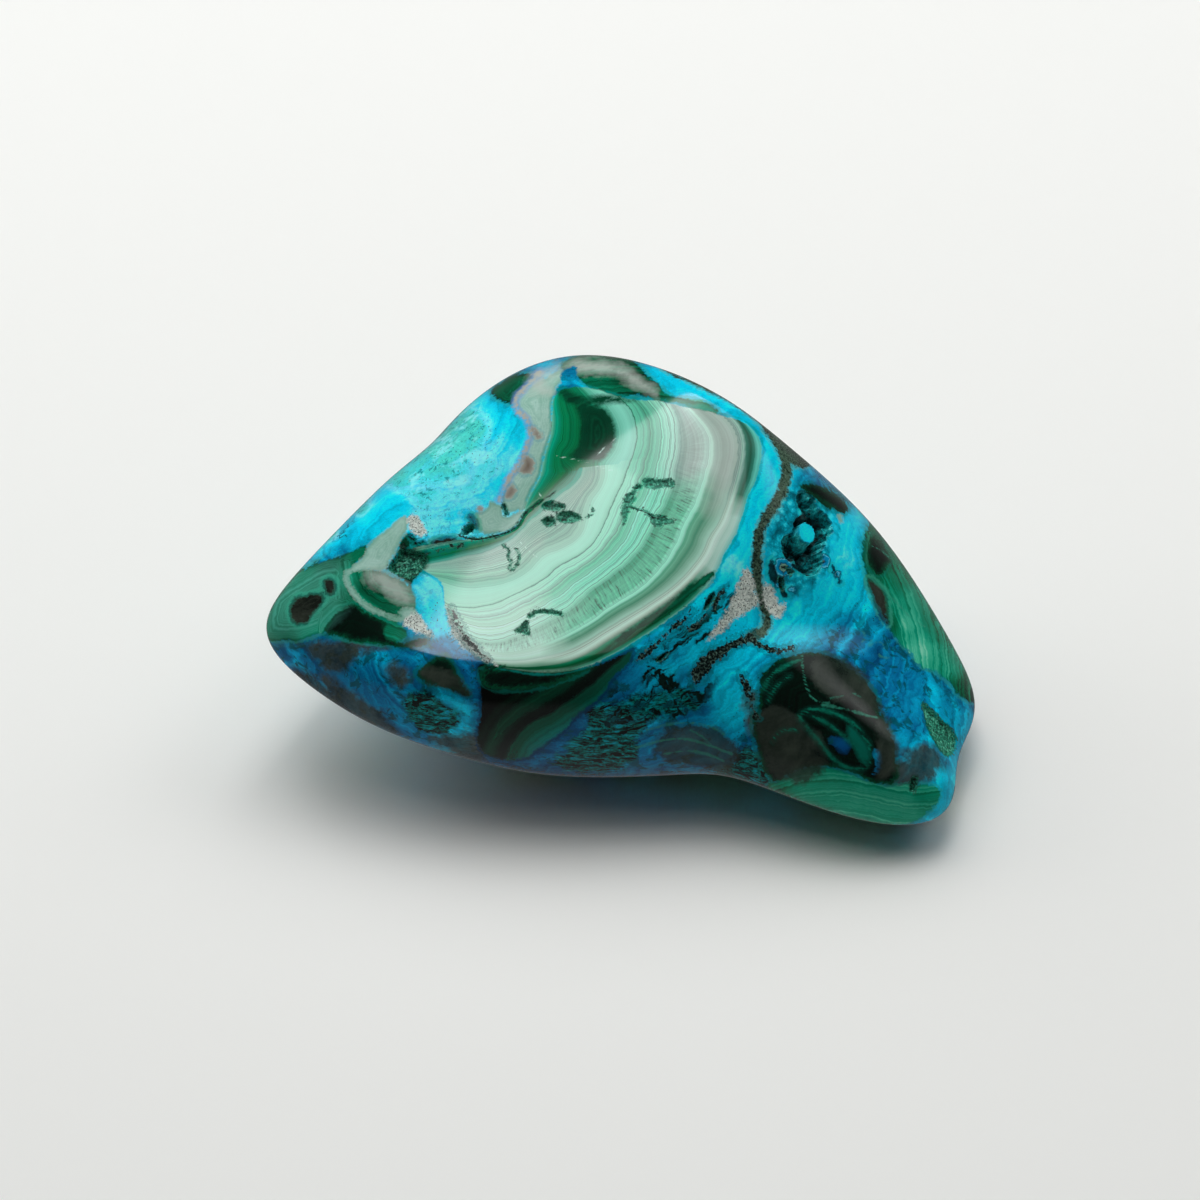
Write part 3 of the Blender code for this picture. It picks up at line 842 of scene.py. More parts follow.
# Lines that the finer bands outside the eye run along, each with the outline inside which it holds.
BANDED = (
    ([628,648, 600,674, 583,688, 566,700, 545,712, 525,724, 512,736, 505,752],
     [470,650, 640,640, 640,690, 560,780, 470,770]),
    ([886,548, 905,590, 918,630, 923,670, 924,690],
     [855,510, 900,500, 1000,620, 1000,720, 900,665, 855,580]),
    ([760,800, 790,783, 830,778, 870,784, 910,794, 950,790],
     [750,760, 820,755, 900,778, 960,770, 960,830, 760,830]),
    ([318,640, 330,618, 350,606, 372,616, 400,628, 430,640],
     [320,600, 440,600, 440,655, 320,655]),
    ([345,570, 348,590, 362,606, 384,615, 412,620],
     [335,560, 420,560, 420,612, 350,606]),
    ([560,400, 600,392, 650,392, 700,402],
     [500,340, 760,340, 760,410, 560,400]),
)
greens = MARKINGS["green"] + MARKINGS["dark"] + MARKINGS["umber"]
from_green = shapes_distance(places, greens + MARKINGS["front"])
bands = shapes_distance(places, greens + MARKINGS["bright"])
for line, outline in BANDED:
    apart, side, _, _ = nearest_on(places, drawn_on(line), False)
    _, _, _, held = nearest_on(places, np.reshape(outline, (-1, 2)), True)
    bands = np.where(held, -apart * side, bands)

markings = {name: shapes_distance(places, shapes) for name, shapes in MARKINGS.items()}
markings |= {
    "eye_far": shape_distance(places, MARKINGS["eye"][0], 160.0),
    "cracks": shapes_distance(places, CRACKS_AND_SHADOW),
    "eye_growth": eye_growth,
    "eye_along": eye_along,
    "bands": bands,
    "from_green": from_green,
    "blue_tone": toned(BLUE_TONES),
    "green_tone": toned(GREEN_TONES),
    "to_view": facing,
    "depth": vug_depth,
    "column": column_top,
    "broken": broken,
}
for name, values in markings.items():
    attribute = stone_mesh.attributes.new(name, "FLOAT", "POINT")
    attribute.data.foreach_set("value", values.astype(np.float32))

# ---------------------------------------------------------------------------------------------------------
# Stone: its colours and polish.
# The polish is glass smooth but for the broken places and the granular veins, which the wheel can't close. The
# colours are the stone's own, without the pale veil that the light lays over the broad face, but for a few painted
# reflections, highlights and shade, each said where it is laid.


def shade(red, green, blue):
    """A colour given as it looks on a screen, 0 to 255."""
    return tuple(
        value / 255 / 12.92 if value <= 10 else ((value / 255 + 0.055) / 1.055) ** 2.4 for value in (red, green, blue)
    )


# The colours of the eye from its middle outwards, as growth, red, green, blue: near its top, along its broad side,
# and at its lower left.
EYE_TOP = (
    -0.35, 122,160,142, 0.0, 96,158,134, 0.14, 0,146,118, 0.4, 0,120,74, 0.8, 0,104,64, 1.0, 0,104,60, 1.7, 0,118,82,
    1.9, 60,160,130, 2.15, 104,188,164, 2.6, 124,206,184, 2.97, 112,190,168, 3.0, 20,104,80, 3.04, 90,184,154,
    3.4, 70,160,130, 3.6, 120,196,170, 3.95, 150,198,182, 4.05, 118,158,146, 4.5, 156,182,174, 4.9, 172,206,194,
    5.02, 184,222,206, 5.12, 156,184,172, 5.5, 136,158,148, 5.75, 152,174,164, 6.0, 140,168,156, 6.1, 96,130,120,
)
EYE_SIDE = (
    -0.35, 122,160,142, 0.0, 96,158,134, 0.14, 0,146,120, 0.3, 0,130,92, 0.6, 0,106,58, 0.85, 0,112,84,
    1.02, 0,150,124, 1.08, 112,166,146, 1.7, 108,162,142, 1.95, 132,186,164, 2.25, 150,217,193, 2.8, 146,216,192,
    2.97, 124,196,170, 3.0, 24,106,82, 3.03, 136,208,182, 3.2, 134,210,184, 3.42, 66,170,134, 3.6, 122,212,184,
    3.74, 100,198,168, 3.9, 120,210,180, 4.08, 52,148,114, 4.4, 86,178,144, 4.75, 84,176,142, 5.0, 144,222,196,
    5.16, 62,152,118, 5.3, 84,160,128, 5.5, 34,122,90, 5.8, 112,166,142, 6.05, 150,198,180, 6.15, 132,170,152,
)
EYE_LOW = (
    -0.35, 122,160,142, 0.0, 96,158,134, 0.14, 0,146,120, 0.6, 0,106,58, 0.85, 0,118,96, 1.0, 70,160,142,
    1.1, 134,178,164, 1.4, 140,192,174, 1.65, 132,200,174, 1.85, 100,176,148, 2.2, 146,216,192, 2.9, 150,214,190,
    2.97, 134,200,174, 3.0, 40,120,94, 3.03, 148,208,184, 3.3, 161,211,194, 3.42, 146,196,174, 3.6, 176,224,203,
    3.9, 156,210,190, 4.05, 126,176,155, 4.5, 160,206,188, 5.0, 178,218,200, 5.3, 184,220,205, 5.6, 188,230,212,
    6.0, 166,204,188, 6.15, 166,206,190,
)
# Its outermost bands, from 6.1 on.
RIM_TOP = (
    6.1, 96,130,120, 6.25, 128,158,148, 6.36, 84,124,112, 6.5, 140,170,160, 6.62, 92,146,128, 6.8, 140,180,165,
    7.0, 114,160,146, 7.15, 60,120,102, 7.4, 34,84,66, 7.6, 44,122,104, 7.8, 90,186,170, 8.0, 70,180,170,
)
RIM_SIDE = (
    6.15, 132,170,152, 6.36, 172,206,190, 6.42, 108,116,104, 6.48, 168,202,186, 6.75, 184,216,202, 6.95, 164,192,176,
    7.1, 112,148,128, 7.22, 40,136,104, 7.36, 0,116,76, 7.5, 0,74,40, 7.72, 0,66,36, 7.86, 30,124,96,
    8.0, 96,176,150,
)
RIM_LOW = (
    6.15, 190,216,204, 6.45, 170,204,186, 6.8, 124,172,148, 7.1, 84,144,116, 7.2, 0,84,50, 7.5, 0,80,42,
    7.65, 70,134,108, 7.8, 126,164,146, 8.0, 120,150,130,
)
RIM_PALE = (
    6.15, 132,170,152, 6.36, 172,206,190, 6.42, 112,124,112, 6.48, 168,202,186, 6.8, 184,214,202, 7.1, 168,198,186,
    7.3, 150,190,176, 7.6, 168,204,192, 8.0, 110,186,178,
)
GREEN_RAMP = (
    0.0, 3,9,6, 0.16, 2,34,22, 0.32, 0,68,44, 0.48, 0,106,74, 0.62, 8,142,112, 0.78, 62,174,142, 1.0, 148,214,188,
)
BLUE_RAMP = (
    0.0, 0,70,112, 0.14, 0,104,150, 0.3, 0,146,184, 0.42, 0,178,208, 0.52, 0,196,226, 0.66, 24,204,238,
    0.78, 96,216,240, 0.88, 60,198,204, 1.0, 66,188,178,
)
MOTTLED_RAMP = (
    0.0, 0,8,10, 0.25, 0,34,34, 0.4, 0,86,82, 0.5, 0,118,118, 0.62, 0,146,160, 0.78, 0,122,168, 1.0, 40,186,210,
)
FRONT_RAMP = (
    0.0, 2,4,2, 0.28, 2,5,3, 0.32, 6,32,20, 0.36, 4,14,9, 0.44, 6,58,40, 0.5, 4,46,32, 0.545, 8,20,15,
    0.62, 10,20,16, 0.65, 8,66,50, 0.72, 2,76,58, 0.78, 0,94,82, 0.84, 0,104,98, 0.9, 0,72,94, 1.0, 0,62,88,
)


stone_polish.use_nodes = True
paint = Plot(stone_polish.node_tree)
paint.tree.nodes.clear()
object_place = paint.amount("ShaderNodeTexCoord", None, None, "Object")
millimetres = paint.amount("ShaderNodeVectorMath", {"operation": "SCALE"}, {0: object_place, "Scale": 1000.0})


def mark(name):
    """A marking's distance, or another number kept on the mesh."""
    return paint.amount("ShaderNodeAttribute", {"attribute_name": name}, None, "Fac")


def speckle(scale, detail=3.0, roughness=0.55, distortion=0.0, place=millimetres):
    """Noise about zero, from -0.5 to 0.5 or so, with this many spots to a millimetre."""
    values = {"Vector": place, "Scale": scale, "Detail": detail, "Roughness": roughness, "Distortion": distortion}
    return paint.amount("ShaderNodeTexNoise", {"noise_dimensions": "3D"}, values, "Fac") - 0.5


def lines(amount, scale, detail=3.0):
    """Noise that changes along one number only."""
    values = {"W": amount, "Scale": scale, "Detail": detail}
    return paint.amount("ShaderNodeTexNoise", {"noise_dimensions": "1D"}, values, "Fac") - 0.5


def ramp(stops, amount, start=0.0, end=1.0):
    """The colour for an amount, from stops given as amount, red, green, blue, amount, red and so on."""
    made = [((place - start) / (end - start), shade(*colour)) for place, *colour in np.reshape(stops, (-1, 4))]
    return paint.amount("ShaderNodeValToRGB", {"stops": made}, {0: (amount - start) / (end - start)}, "Color")


def mixed(share, under, over, way="MIX"):
    """One colour with a share of another over it."""
    settings = {"data_type": "RGBA", "blend_type": way, "clamp_factor": True}
    return paint.amount("ShaderNodeMix", settings, {0: share, 6: under, 7: over}, 2)


def between(amount, low, high):
    """From one screen colour at an amount of 0 to another at 1."""
    return mixed(amount.clamped(), plain(*low), plain(*high))


def lit(colour, light):
    """A colour made lighter or darker by an amount about 1."""
    grey = paint.amount("ShaderNodeCombineColor", None, {0: light, 1: light, 2: light})
    return mixed(1.0, colour, grey, "MULTIPLY")


def plain(*colour):
    return (*shade(*colour), 1.0)


def within(distance, soft=1.0):
    """1 inside, 0 outside, over a border this wide."""
    return (0.5 - distance / soft).clamped()


def cells(scale, place=millimetres, feature="F1"):
    """Distance in cells of this many to a millimetre: from their middles, or to their edges."""
    return paint.amount("ShaderNodeTexVoronoi", {"feature": feature}, {"Vector": place, "Scale": scale}, "Distance")


def spot_at(x, y, z=0.0):
    return paint.amount("ShaderNodeCombineXYZ", None, {"X": x, "Y": y, "Z": z})


rolling = speckle(0.42, 3.0, 0.6)
ragged = speckle(1.8, 4.0, 0.7)
cloudy = speckle(0.16, 5.0, 0.62, 1.0)
grainy = speckle(3.4, 2.0, 0.7)
drifting = speckle(0.12, 3.0, 0.5)
spots = cells(2.0)
fine_spots = cells(3.4)
crumbs = cells(0.95, paint.vector("ADD", millimetres, spot_at(ragged * 1.2, rolling * 1.6, ragged * 0.8)))


def border(name, wobble=1.0, roll=1.0):
    """How far outside a marking, in pixels, with its outline made uneven."""
    return mark(name) + ragged * (8.0 * wobble) + rolling * (12.0 * roll)


# The malachite eye: the ramp along its growth, fine lines, and fibres across the outer bands. Its top passes into
# its side, the side into the lower left, and its rim goes pale, this many pixels along its growth.
TOP_TO_SIDE = 262.0
SIDE_TO_LOW = 480.0
PALE_RIM = 302.0
growth = mark("eye_growth") + rolling * 0.12
fine_growth = lines(growth, 34.0, 3.0)
broad_growth = lines(growth, 8.0, 2.0)
along_growth = mark("eye_along")
fibres = speckle(1.0, 4.0, 0.65, 0.0, spot_at(along_growth * 0.42 + rolling * 1.6, growth * 1.4))
fibrous = within(abs(growth - 4.45) - 0.42, 0.12)
banded = within(abs(growth - 3.55) - 0.45, 0.2)
lensed = within(abs(growth - 1.45) - 0.40, 0.2)
scalloped = within(growth - 0.9, 0.1)
from_top = ((along_growth - TOP_TO_SIDE + drifting * 60.0) / 40.0 + 0.5).clamped()
eye_light = (
    1.0
    + fine_growth * (0.35 + banded * 1.2 + lensed * 1.0 + scalloped * 0.9)
    + broad_growth * (0.25 + banded * 0.7 + scalloped * 1.2)
    + fibres * fibrous * (0.5 + from_top * 1.3)
    - within(fibres + 0.10, 0.06) * fibrous * from_top * 0.4
    + cloudy * 0.15
)
shown_growth = growth + broad_growth * 0.14
from_low = ((along_growth - SIDE_TO_LOW + drifting * 60.0) / 50.0 + 0.5).clamped()


def grown(top, side, low, start, end):
    """A colour that changes with growth, and along the eye from its top by its side to its lower left."""
    at_top, at_side, at_low = (ramp(stops, shown_growth, start, end) for stops in (top, side, low))
    return mixed(from_low, mixed(from_top, at_top, at_side), at_low)


inner_eye = grown(EYE_TOP, EYE_SIDE, EYE_LOW, -0.35, 6.15)
outer_eye = grown(RIM_TOP, RIM_SIDE, RIM_LOW, 6.1, 8.0)
pale_rim = within(abs(along_growth - PALE_RIM + drifting * 30.0) - 36.0, 20.0)
outer_eye = mixed(pale_rim, outer_eye, ramp(RIM_PALE, shown_growth, 6.1, 8.0))
eye_colour = mixed(within(6.12 - shown_growth, 0.02), inner_eye, outer_eye)
# Pale mauve haze and painted reflection, laid thinly over the eye.
haze_and_reflection_colour = between(cloudy * 2.0 + 0.5, (170, 172, 166), (170, 190, 180))
haze_and_reflection_share = within(mark("haze") + rolling * 16.0 + ragged * 5.0, 12.0)
eye_colour = mixed(haze_and_reflection_share * 0.25, eye_colour, haze_and_reflection_colour)
eye_colour = lit(eye_colour, eye_light)
lens_lines = within(abs(lines(growth, 15.0, 1.0)) - 0.012, 0.02) * lensed
eye_colour = mixed(lens_lines * 0.5, eye_colour, plain(30, 92, 76))
pale = within(mark("pale") + rolling * 14.0, 26.0)
eye_colour = mixed(pale * (0.25 + fibres * 0.6), eye_colour, plain(164, 212, 192))

# Chrysocolla: its tone drifts, it is streaked along the eye's outline, and it deepens towards the green it lies on.
inwards = ((mark("from_green") + rolling * 14.0 + ragged * 9.0) / 11.0).clamped()
flow = mark("eye_far") + drifting * 60.0 + rolling * 14.0 + ragged * 2.0
streaks = lines(flow, 0.09, 5.0)
blue_amount = mark("blue_tone") + cloudy * 0.34 + ragged * 0.10 + streaks * 0.48 - (1.0 - inwards) * 0.12
blue_light = 0.76 + inwards * 0.30 + streaks * 0.9 + grainy * 0.5
blue_colour = lit(ramp(BLUE_RAMP, blue_amount), blue_light)
veinlets = within(abs(speckle(0.6, 4.0, 0.7, 1.5)) - 0.008, 0.016)
blue_colour = mixed(veinlets * 0.35, blue_colour, plain(0, 60, 78))
teal_patches = within(0.06 - speckle(0.5, 4.0, 0.68, 0.8), 0.06)
blue_colour = mixed(teal_patches * within(mark("blue_tone") - 0.34, 0.2) * 0.8, blue_colour, plain(0, 70, 74))
turquoise = within(0.74 - mark("blue_tone"), 0.2)
lumps = within(0.09 - speckle(0.9, 4.0, 0.75, 0.6), 0.03)
blue_colour = mixed(lumps * turquoise * 0.75, blue_colour, plain(10, 120, 126))
blue_colour = mixed(within(0.09 - speckle(0.34, 3.0, 0.6), 0.1) * turquoise * 0.5, blue_colour, plain(150, 238, 246))
layered = paint.vector("MULTIPLY", millimetres, (0.62, 1.0, 1.5))
mottle_noise = speckle(0.8, 5.0, 0.8, 0.5, layered)
mottled_colour = lit(ramp(MOTTLED_RAMP, 0.37 + mottle_noise * 2.6), 1.0 + grainy * 1.2)
pits = speckle(0.42, 4.0, 0.62, 1.2, layered)
mottled_colour = mixed(within(pits + 0.03, 0.03) * 0.7, mottled_colour, plain(0, 120, 112))
mottled_colour = mixed(within(pits + 0.06, 0.03), mottled_colour, plain(3, 16, 13))

# Green malachite beside the eye, banded along its own outline or along a line of growth.
bands = mark("bands") + rolling * 7.0 + ragged * 2.0
band_lines = lines(bands, 0.30, 3.0)
green_colour = ramp(GREEN_RAMP, mark("green_tone") + band_lines * 0.7 + cloudy * 0.2 + ragged * 0.08)
sunk = (0.0 - border("dark", 1.2, 0.8)) / 6.0
dark_colour = ramp(GREEN_RAMP, 0.34 - sunk.clamped() * 0.30 + band_lines * 0.22 + cloudy * 0.16)
front_colour = ramp(FRONT_RAMP, (mark("bands") + 60.0 + rolling * 6.0 + band_lines * 4.0) / 100.0)
front_colour = lit(front_colour, 1.0 + band_lines * 1.2 + grainy * 0.4)
# Sage malachite, and the painted highlight on the nose in the same pale colours.
sage_and_highlight_lines = lines(mark("sage") + rolling * 8.0, 0.25, 3.0)
sage_and_highlight_colour = between(sage_and_highlight_lines * 2.2 + cloudy * 1.6 + 0.5, (112, 160, 142), (160, 194, 184))
sage_and_highlight_colour = lit(sage_and_highlight_colour, 1.0 + grainy * 0.25)
umber_colour = between(cloudy * 2.2 + 0.45 + band_lines * 0.6, (16, 22, 17), (56, 62, 54))
umber_colour = lit(umber_colour, 1.0 + ragged * 0.9 + grainy * 0.6)
black_specks = within(fine_spots - 0.27 + grainy * 0.40, 0.06)
grey_colour = between(grainy * 2.4 + 0.42 + cloudy * 1.6, (212, 220, 212), (108, 130, 124))
grey_colour = mixed(black_specks, grey_colour, plain(8, 14, 14))
olive_colour = between(grainy * 2.4 + ragged * 1.5 + cloudy * 1.5 + 0.4, (12, 32, 26), (84, 112, 92))
gritty_colour = between(grainy * 4.0 + ragged * 1.5 + 0.1, (2, 14, 14), (84, 116, 104))
druse_ramp = (0.0, 70,216,222, 0.25, 20,190,206, 0.45, 0,142,164, 0.7, 0,82,94, 1.0, 0,24,28)
druse_colour = ramp(druse_ramp, crumbs + grainy * 0.7 + cloudy * 0.6 - 0.06)


def lay(name, over, wobble=1.0, roll=0.5, soft=1.4, share=1.0, past=0.0):
    """Lays this share of a marking's colour over what is there, and this many pixels past its border."""
    global colour
    colour = mixed(within(border(name, wobble, roll) - past, soft) * share, colour, over)


def rim(name, at, half, over, share=0.8, wobble=1.0, roll=0.5):
    """Draws a line of uneven width along a marking's border, this many pixels outside it."""
    global colour
    width = half * (1.0 + rolling * 6.0)
    colour = mixed(within(abs(border(name, wobble, roll) - at) - width, 1.6) * share, colour, over)


# Everything but the eye, from the oldest growth to the last, with painted reflection and shade laid in among
# them.
colour = blue_colour
lay("mottled", mottled_colour, 2.0, 2.0, 6.0)
# Painted reflection of the dim floor on the faces that turn down.
floor_reflection_colour = between(cloudy * 2.2 + ragged + 0.5, (20, 34, 30), (72, 76, 66))
lay("cloud", floor_reflection_colour, 1.0, 2.0, 9.0, 0.9)
lay("druse", druse_colour, 2.0, 2.4, 10.0, 0.85)
colour = mixed(within(abs(border("hollow", 0.8, 0.8) - 2.0) - 1.4, 1.6) * 0.5, colour, plain(20, 176, 170))
drawn_place = spot_at(flow * 0.085 + ragged * 0.6, along_growth * 0.028)
black_streaks = speckle(1.0, 3.0, 0.62, 0.3, drawn_place)
drawn_out = within(border("drawn_out", 2.0, 2.0), 16.0)
colour = mixed(within(black_streaks + 0.01, 0.06) * drawn_out * 0.6, colour, plain(0, 96, 112))
colour = mixed(within(black_streaks + 0.055, 0.03) * drawn_out, colour, lit(plain(3, 26, 22), 1.0 + grainy * 3.0))
rim("green", 1.6, 1.0, plain(40, 156, 146), 0.5)
lay("green", green_colour, 1.0, 0.8, 2.0)
rim("front", 1.4, 1.2, plain(0, 52, 84), 0.7)
lay("front", front_colour, 1.0, 0.5, 2.0)
rim("dark", 2.0, 1.2, plain(0, 110, 96), 0.45)
lay("dark", dark_colour, 1.0, 0.8, 2.0)
rim("olive", 0.8, 0.9, plain(96, 168, 150), 0.5, 1.4)
lay("olive", olive_colour, 1.3, 0.6, 2.0)
# Sage malachite and the painted highlight on the nose.
lay("sage", sage_and_highlight_colour, 0.8, 0.5, 3.0)
lay("crust", plain(104, 140, 196), 0.6, 0.4, 3.0, 0.55, 2.6)
lay("crust", plain(160, 160, 148), 1.2, 0.8, 3.0)
rim("eye", 1.6, 1.0, plain(0, 140, 130), 0.5, 0.5, 0.2)
lay("bright", green_colour, 0.8, 0.3, 2.4)
mist = within(mark("misty") + rolling * 20.0, 24.0) * (0.45 + band_lines * 1.5).clamped()
colour = mixed(mist, colour, plain(76, 148, 134))
# The pale mauve haze and the painted reflection, laid over the fields.
colour = mixed(haze_and_reflection_share * 0.75, colour, haze_and_reflection_colour)
rim("umber", 3.0, 1.8, plain(52, 156, 130), 0.55, 0.8)
rim("umber", 1.0, 0.9, plain(0, 72, 64), 0.6, 0.8)
lay("umber", umber_colour, 0.8, 0.6, 3.0)
rim("bead", 1.6, 0.9, plain(60, 132, 150), 0.35, 1.0, 0.6)
lay("bead", between(mark("bead") / -6.0, (146, 146, 136), (104, 94, 84)), 1.0, 0.6, 3.0)
lay("blue_over", blue_colour, 0.8, 0.5, 2.0)
# Painted reflection on the toe and on the front faces that turn down.
grey_reflection_colour = between(cloudy * 2.4 + ragged * 0.6 + 0.5, (18, 30, 25), (58, 66, 58))
lay("smoky", grey_reflection_colour, 1.2, 1.6, 6.0, 0.85)
lay("ring_heart", plain(0, 100, 84), 0.6, 0.5, 5.0, 0.8)
lay("ring_blue", plain(0, 74, 130), 0.6, 0.5, 6.0, 0.8)
lay("rings", plain(0, 76, 62), 0.6, 0.5, 6.0, 0.55, 1.0)
lay("rings", plain(10, 134, 108), 0.6, 0.5, 2.2, (0.55 + rolling * 2.0).clamped())
eyelet_ramp = (
    0.0, 2,18,22, 0.25, 120,170,150, 0.33, 0,60,80, 0.5, 0,130,178, 0.72, 0,150,190, 0.8, 96,206,226, 0.88, 0,110,140,
    1.0, 0,60,76,
)
lay("eyelets", ramp(eyelet_ramp, (border("eyelets", 0.9, 0.6) + 9.0) / 9.0), 0.9, 0.6, 1.4)
lay("threads", plain(48, 140, 116), 0.5, 0.5, 1.6, (0.65 + rolling * 2.0).clamped())

# The vug: drusy teal walls, with painted shade that darkens them where they are deep.
depth = mark("depth")
drusy = speckle(1.5, 5.0, 0.75)
wall_ramp = (0.0, 0,16,18, 0.3, 0,74,78, 0.5, 0,150,154, 0.7, 30,204,206, 1.0, 120,240,238)
shaded_wall = ramp(wall_ramp, 0.56 + drusy * 1.8 - (depth / 4.0 - 0.3).clamped() * 0.7)
colour = mixed(within(0.30 - depth + ragged * 0.5, 0.4), colour, shaded_wall)
# The hollows of the vug, painted near black as shade.
lay("hollow", plain(0, 14, 14), 0.8, 0.8, 2.0, 0.92)
column_face = within(mark("column") + 0.1, 0.2)
colour = mixed(column_face, colour, lit(plain(10, 196, 232), 1.0 + grainy * 0.8 + crumbs * 0.3))

# What crosses from one field to the next: grit, specks, breaks and cracks.
is_grey = within(border("grey", 1.4, 0.8), 3.0)
gritty_border = border("gritty", 1.8, 0.8)
single_specks = within(spots - 0.16 + ragged * 0.40, 0.06)
few_specks = single_specks * within(border("specks", 2.0, 2.0), 12.0)
fresh_ramp = (0.0, 0,22,18, 0.3, 0,84,66, 0.6, 30,140,112, 1.0, 110,208,178)
fresh = ramp(fresh_ramp, (grainy * 2.6 + ragged * 2.2 + 0.5).clamped())
is_broken = within(mark("broken") + ragged * 15.0 + grainy * 8.0 - 0.4, 0.8)
# Cracks painted near black; along the chip's lower edge this is painted shadow.
crack_and_shadow = within(mark("cracks") + ragged * 1.6 + grainy * 1.6, 0.8)


def crossed(colour):
    """A field's colour with what crosses it."""
    colour = mixed(is_grey, colour, grey_colour)
    colour = mixed(within(abs(gritty_border - 2.4) - 1.4, 1.6) * 0.5, colour, plain(0, 96, 96))
    colour = mixed(within(gritty_border, 1.6), colour, gritty_colour)
    colour = mixed(few_specks * 0.9, colour, plain(2, 26, 30))
    colour = mixed(is_broken * 0.85, colour, fresh)
    return mixed(crack_and_shadow, colour, plain(0, 20, 16))


around_colour = crossed(colour)

# The eye, with the dark lobe in its crescent and the bright stripe at its lower edge.
colour = eye_colour
lobe_colour = ramp(GREEN_RAMP, 0.31 - sunk.clamped() * 0.06 + band_lines * 0.35 + cloudy * 0.1)
lay("dark", lobe_colour, 0.8, 0.3, 5.0)
lay("bright", green_colour, 0.8, 0.3, 2.4)
lay("scratches", plain(196, 232, 222), 0.3, 0.2, 1.2)
eye_colour = crossed(colour)

# The sides that the picture doesn't show: nodules of malachite with chrysocolla veins between them.
warp_values = {"Vector": millimetres, "Scale": 0.075, "Detail": 3.0}
warp = paint.amount("ShaderNodeTexNoise", {"noise_dimensions": "3D"}, warp_values, "Color")
warp = paint.amount("ShaderNodeVectorMath", {"operation": "SCALE"}, {0: warp, "Scale": 24.0})
bent = paint.vector("ADD", millimetres, warp)
nodule = cells(0.05, bent)
gap = cells(0.05, bent, "DISTANCE_TO_EDGE")
vein = gap + cloudy * 0.22 + drifting * 0.30 + ragged * 0.02
shells = lines(nodule, 9.0, 3.0)
fine_shells = lines(nodule, 70.0, 3.0)
back_green = ramp(GREEN_RAMP, 0.46 + drifting * 0.9 + shells * 1.3 + fine_shells * 0.55 + cloudy * 0.2)
back_flow = lines(vein * 26.0 + rolling * 1.6 + cloudy * 4.0, 1.0, 4.0)
back_blue = ramp(BLUE_RAMP, 0.34 + drifting * 0.9 + cloudy * 0.5 + back_flow * 0.5 + ragged * 0.14)
back_blue = lit(back_blue, 0.95 + back_flow * 0.9 + grainy * 0.5)
back_blue = mixed(veinlets * 0.5, back_blue, plain(0, 56, 66))
back = mixed(within(vein - 0.085, 0.014), back_green, plain(52, 132, 112))
back = mixed(within(vein - 0.075, 0.014), back, back_blue)
back = mixed(within(0.15 - speckle(0.075, 4.0, 0.5, 0.4), 0.02), back, olive_colour)
back = mixed(single_specks * within(abs(vein - 0.05) - 0.03, 0.03), back, plain(4, 24, 24))
away = mark("to_view") + ragged * 0.05 + rolling * 0.16 + 0.08
back_edge = within(abs(away * 60.0) - (3.0 + cloudy * 8.0), 2.0)
around_colour = mixed(back_edge, around_colour, back_blue)
back = mixed(back_edge, back, back_blue)

on_wall = within(0.3 - depth, 0.2)
on_olive = within(mark("olive"), 2.0)
rough_place = is_broken.most(on_wall).most(crack_and_shadow)
granular = on_olive.most(is_grey)
roughness = (0.06 + granular * (0.12 + black_specks * 0.2) + few_specks * 0.15).most(rough_place * 0.6)
in_break = within(mark("broken"), 2.0).most(on_wall)
pitting = on_olive.most(within(mark("grey"), 2.0)) * grainy * 0.3 + in_break * (grainy + ragged) * 1.2
bump = paint.amount("ShaderNodeBump", None, {"Strength": 0.4, "Distance": 0.0003, "Height": pitting}, "Normal")


def polished(colour, light, finish):
    """The polish over a field of this colour. A field that isn't there costs the render nothing."""
    shown = paint.vector("MINIMUM", lit(colour, light), (1.0, 1.0, 1.0))
    return paint.amount("ShaderNodeBsdfPrincipled", None, {"Base Color": shown, "IOR": 1.5} | finish)


def blended(share, under, over):
    return paint.amount("ShaderNodeMixShader", None, {0: share, 1: under, 2: over})


worn = {"Roughness": roughness, "Normal": bump}
around = polished(around_colour, light=1.32, finish=worn)
eye = polished(eye_colour, light=1.34, finish=worn)
unseen = polished(back, light=1.3, finish={"Roughness": 0.06})
in_view = blended(within(border("eye", 0.5, 0.2), 1.4), around, eye)
paint.add("ShaderNodeOutputMaterial", None, {"Surface": blended(within(away, 0.02), in_view, unseen)})

stone = bpy.data.objects.new("stone_polished", stone_mesh)
bpy.context.scene.collection.objects.link(stone)
stone_mesh.shade_smooth()
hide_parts("stone")
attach(stone, "root")

# ---------------------------------------------------------------------------------------------------------
# Stage: a plain pale floor, the lamps and the camera.
# The floor is matt card. One large softbox hangs overhead and to the back right, brightest along its left edge,
# and a tent of white cloth round the table fills the shadows.

floor_mesh = bpy.data.meshes.new("floor")
floor_mesh.from_pydata([(-3, -3, 0), (3, -3, 0), (3, 3, 0), (-3, 3, 0)], [], [(0, 1, 2, 3)])
floor = bpy.data.objects.new("floor", floor_mesh)
floor.location.z = -0.00002
bpy.context.scene.collection.objects.link(floor)
pale = bpy.data.materials.new("pale_floor")
pale.use_nodes = True
for name, value in (("Base Color", plain(246, 247, 244)), ("Roughness", 0.7), ("Specular IOR Level", 0.2)):
    pale.node_tree.nodes["Principled BSDF"].inputs[name].default_value = value
floor_mesh.materials.append(pale)


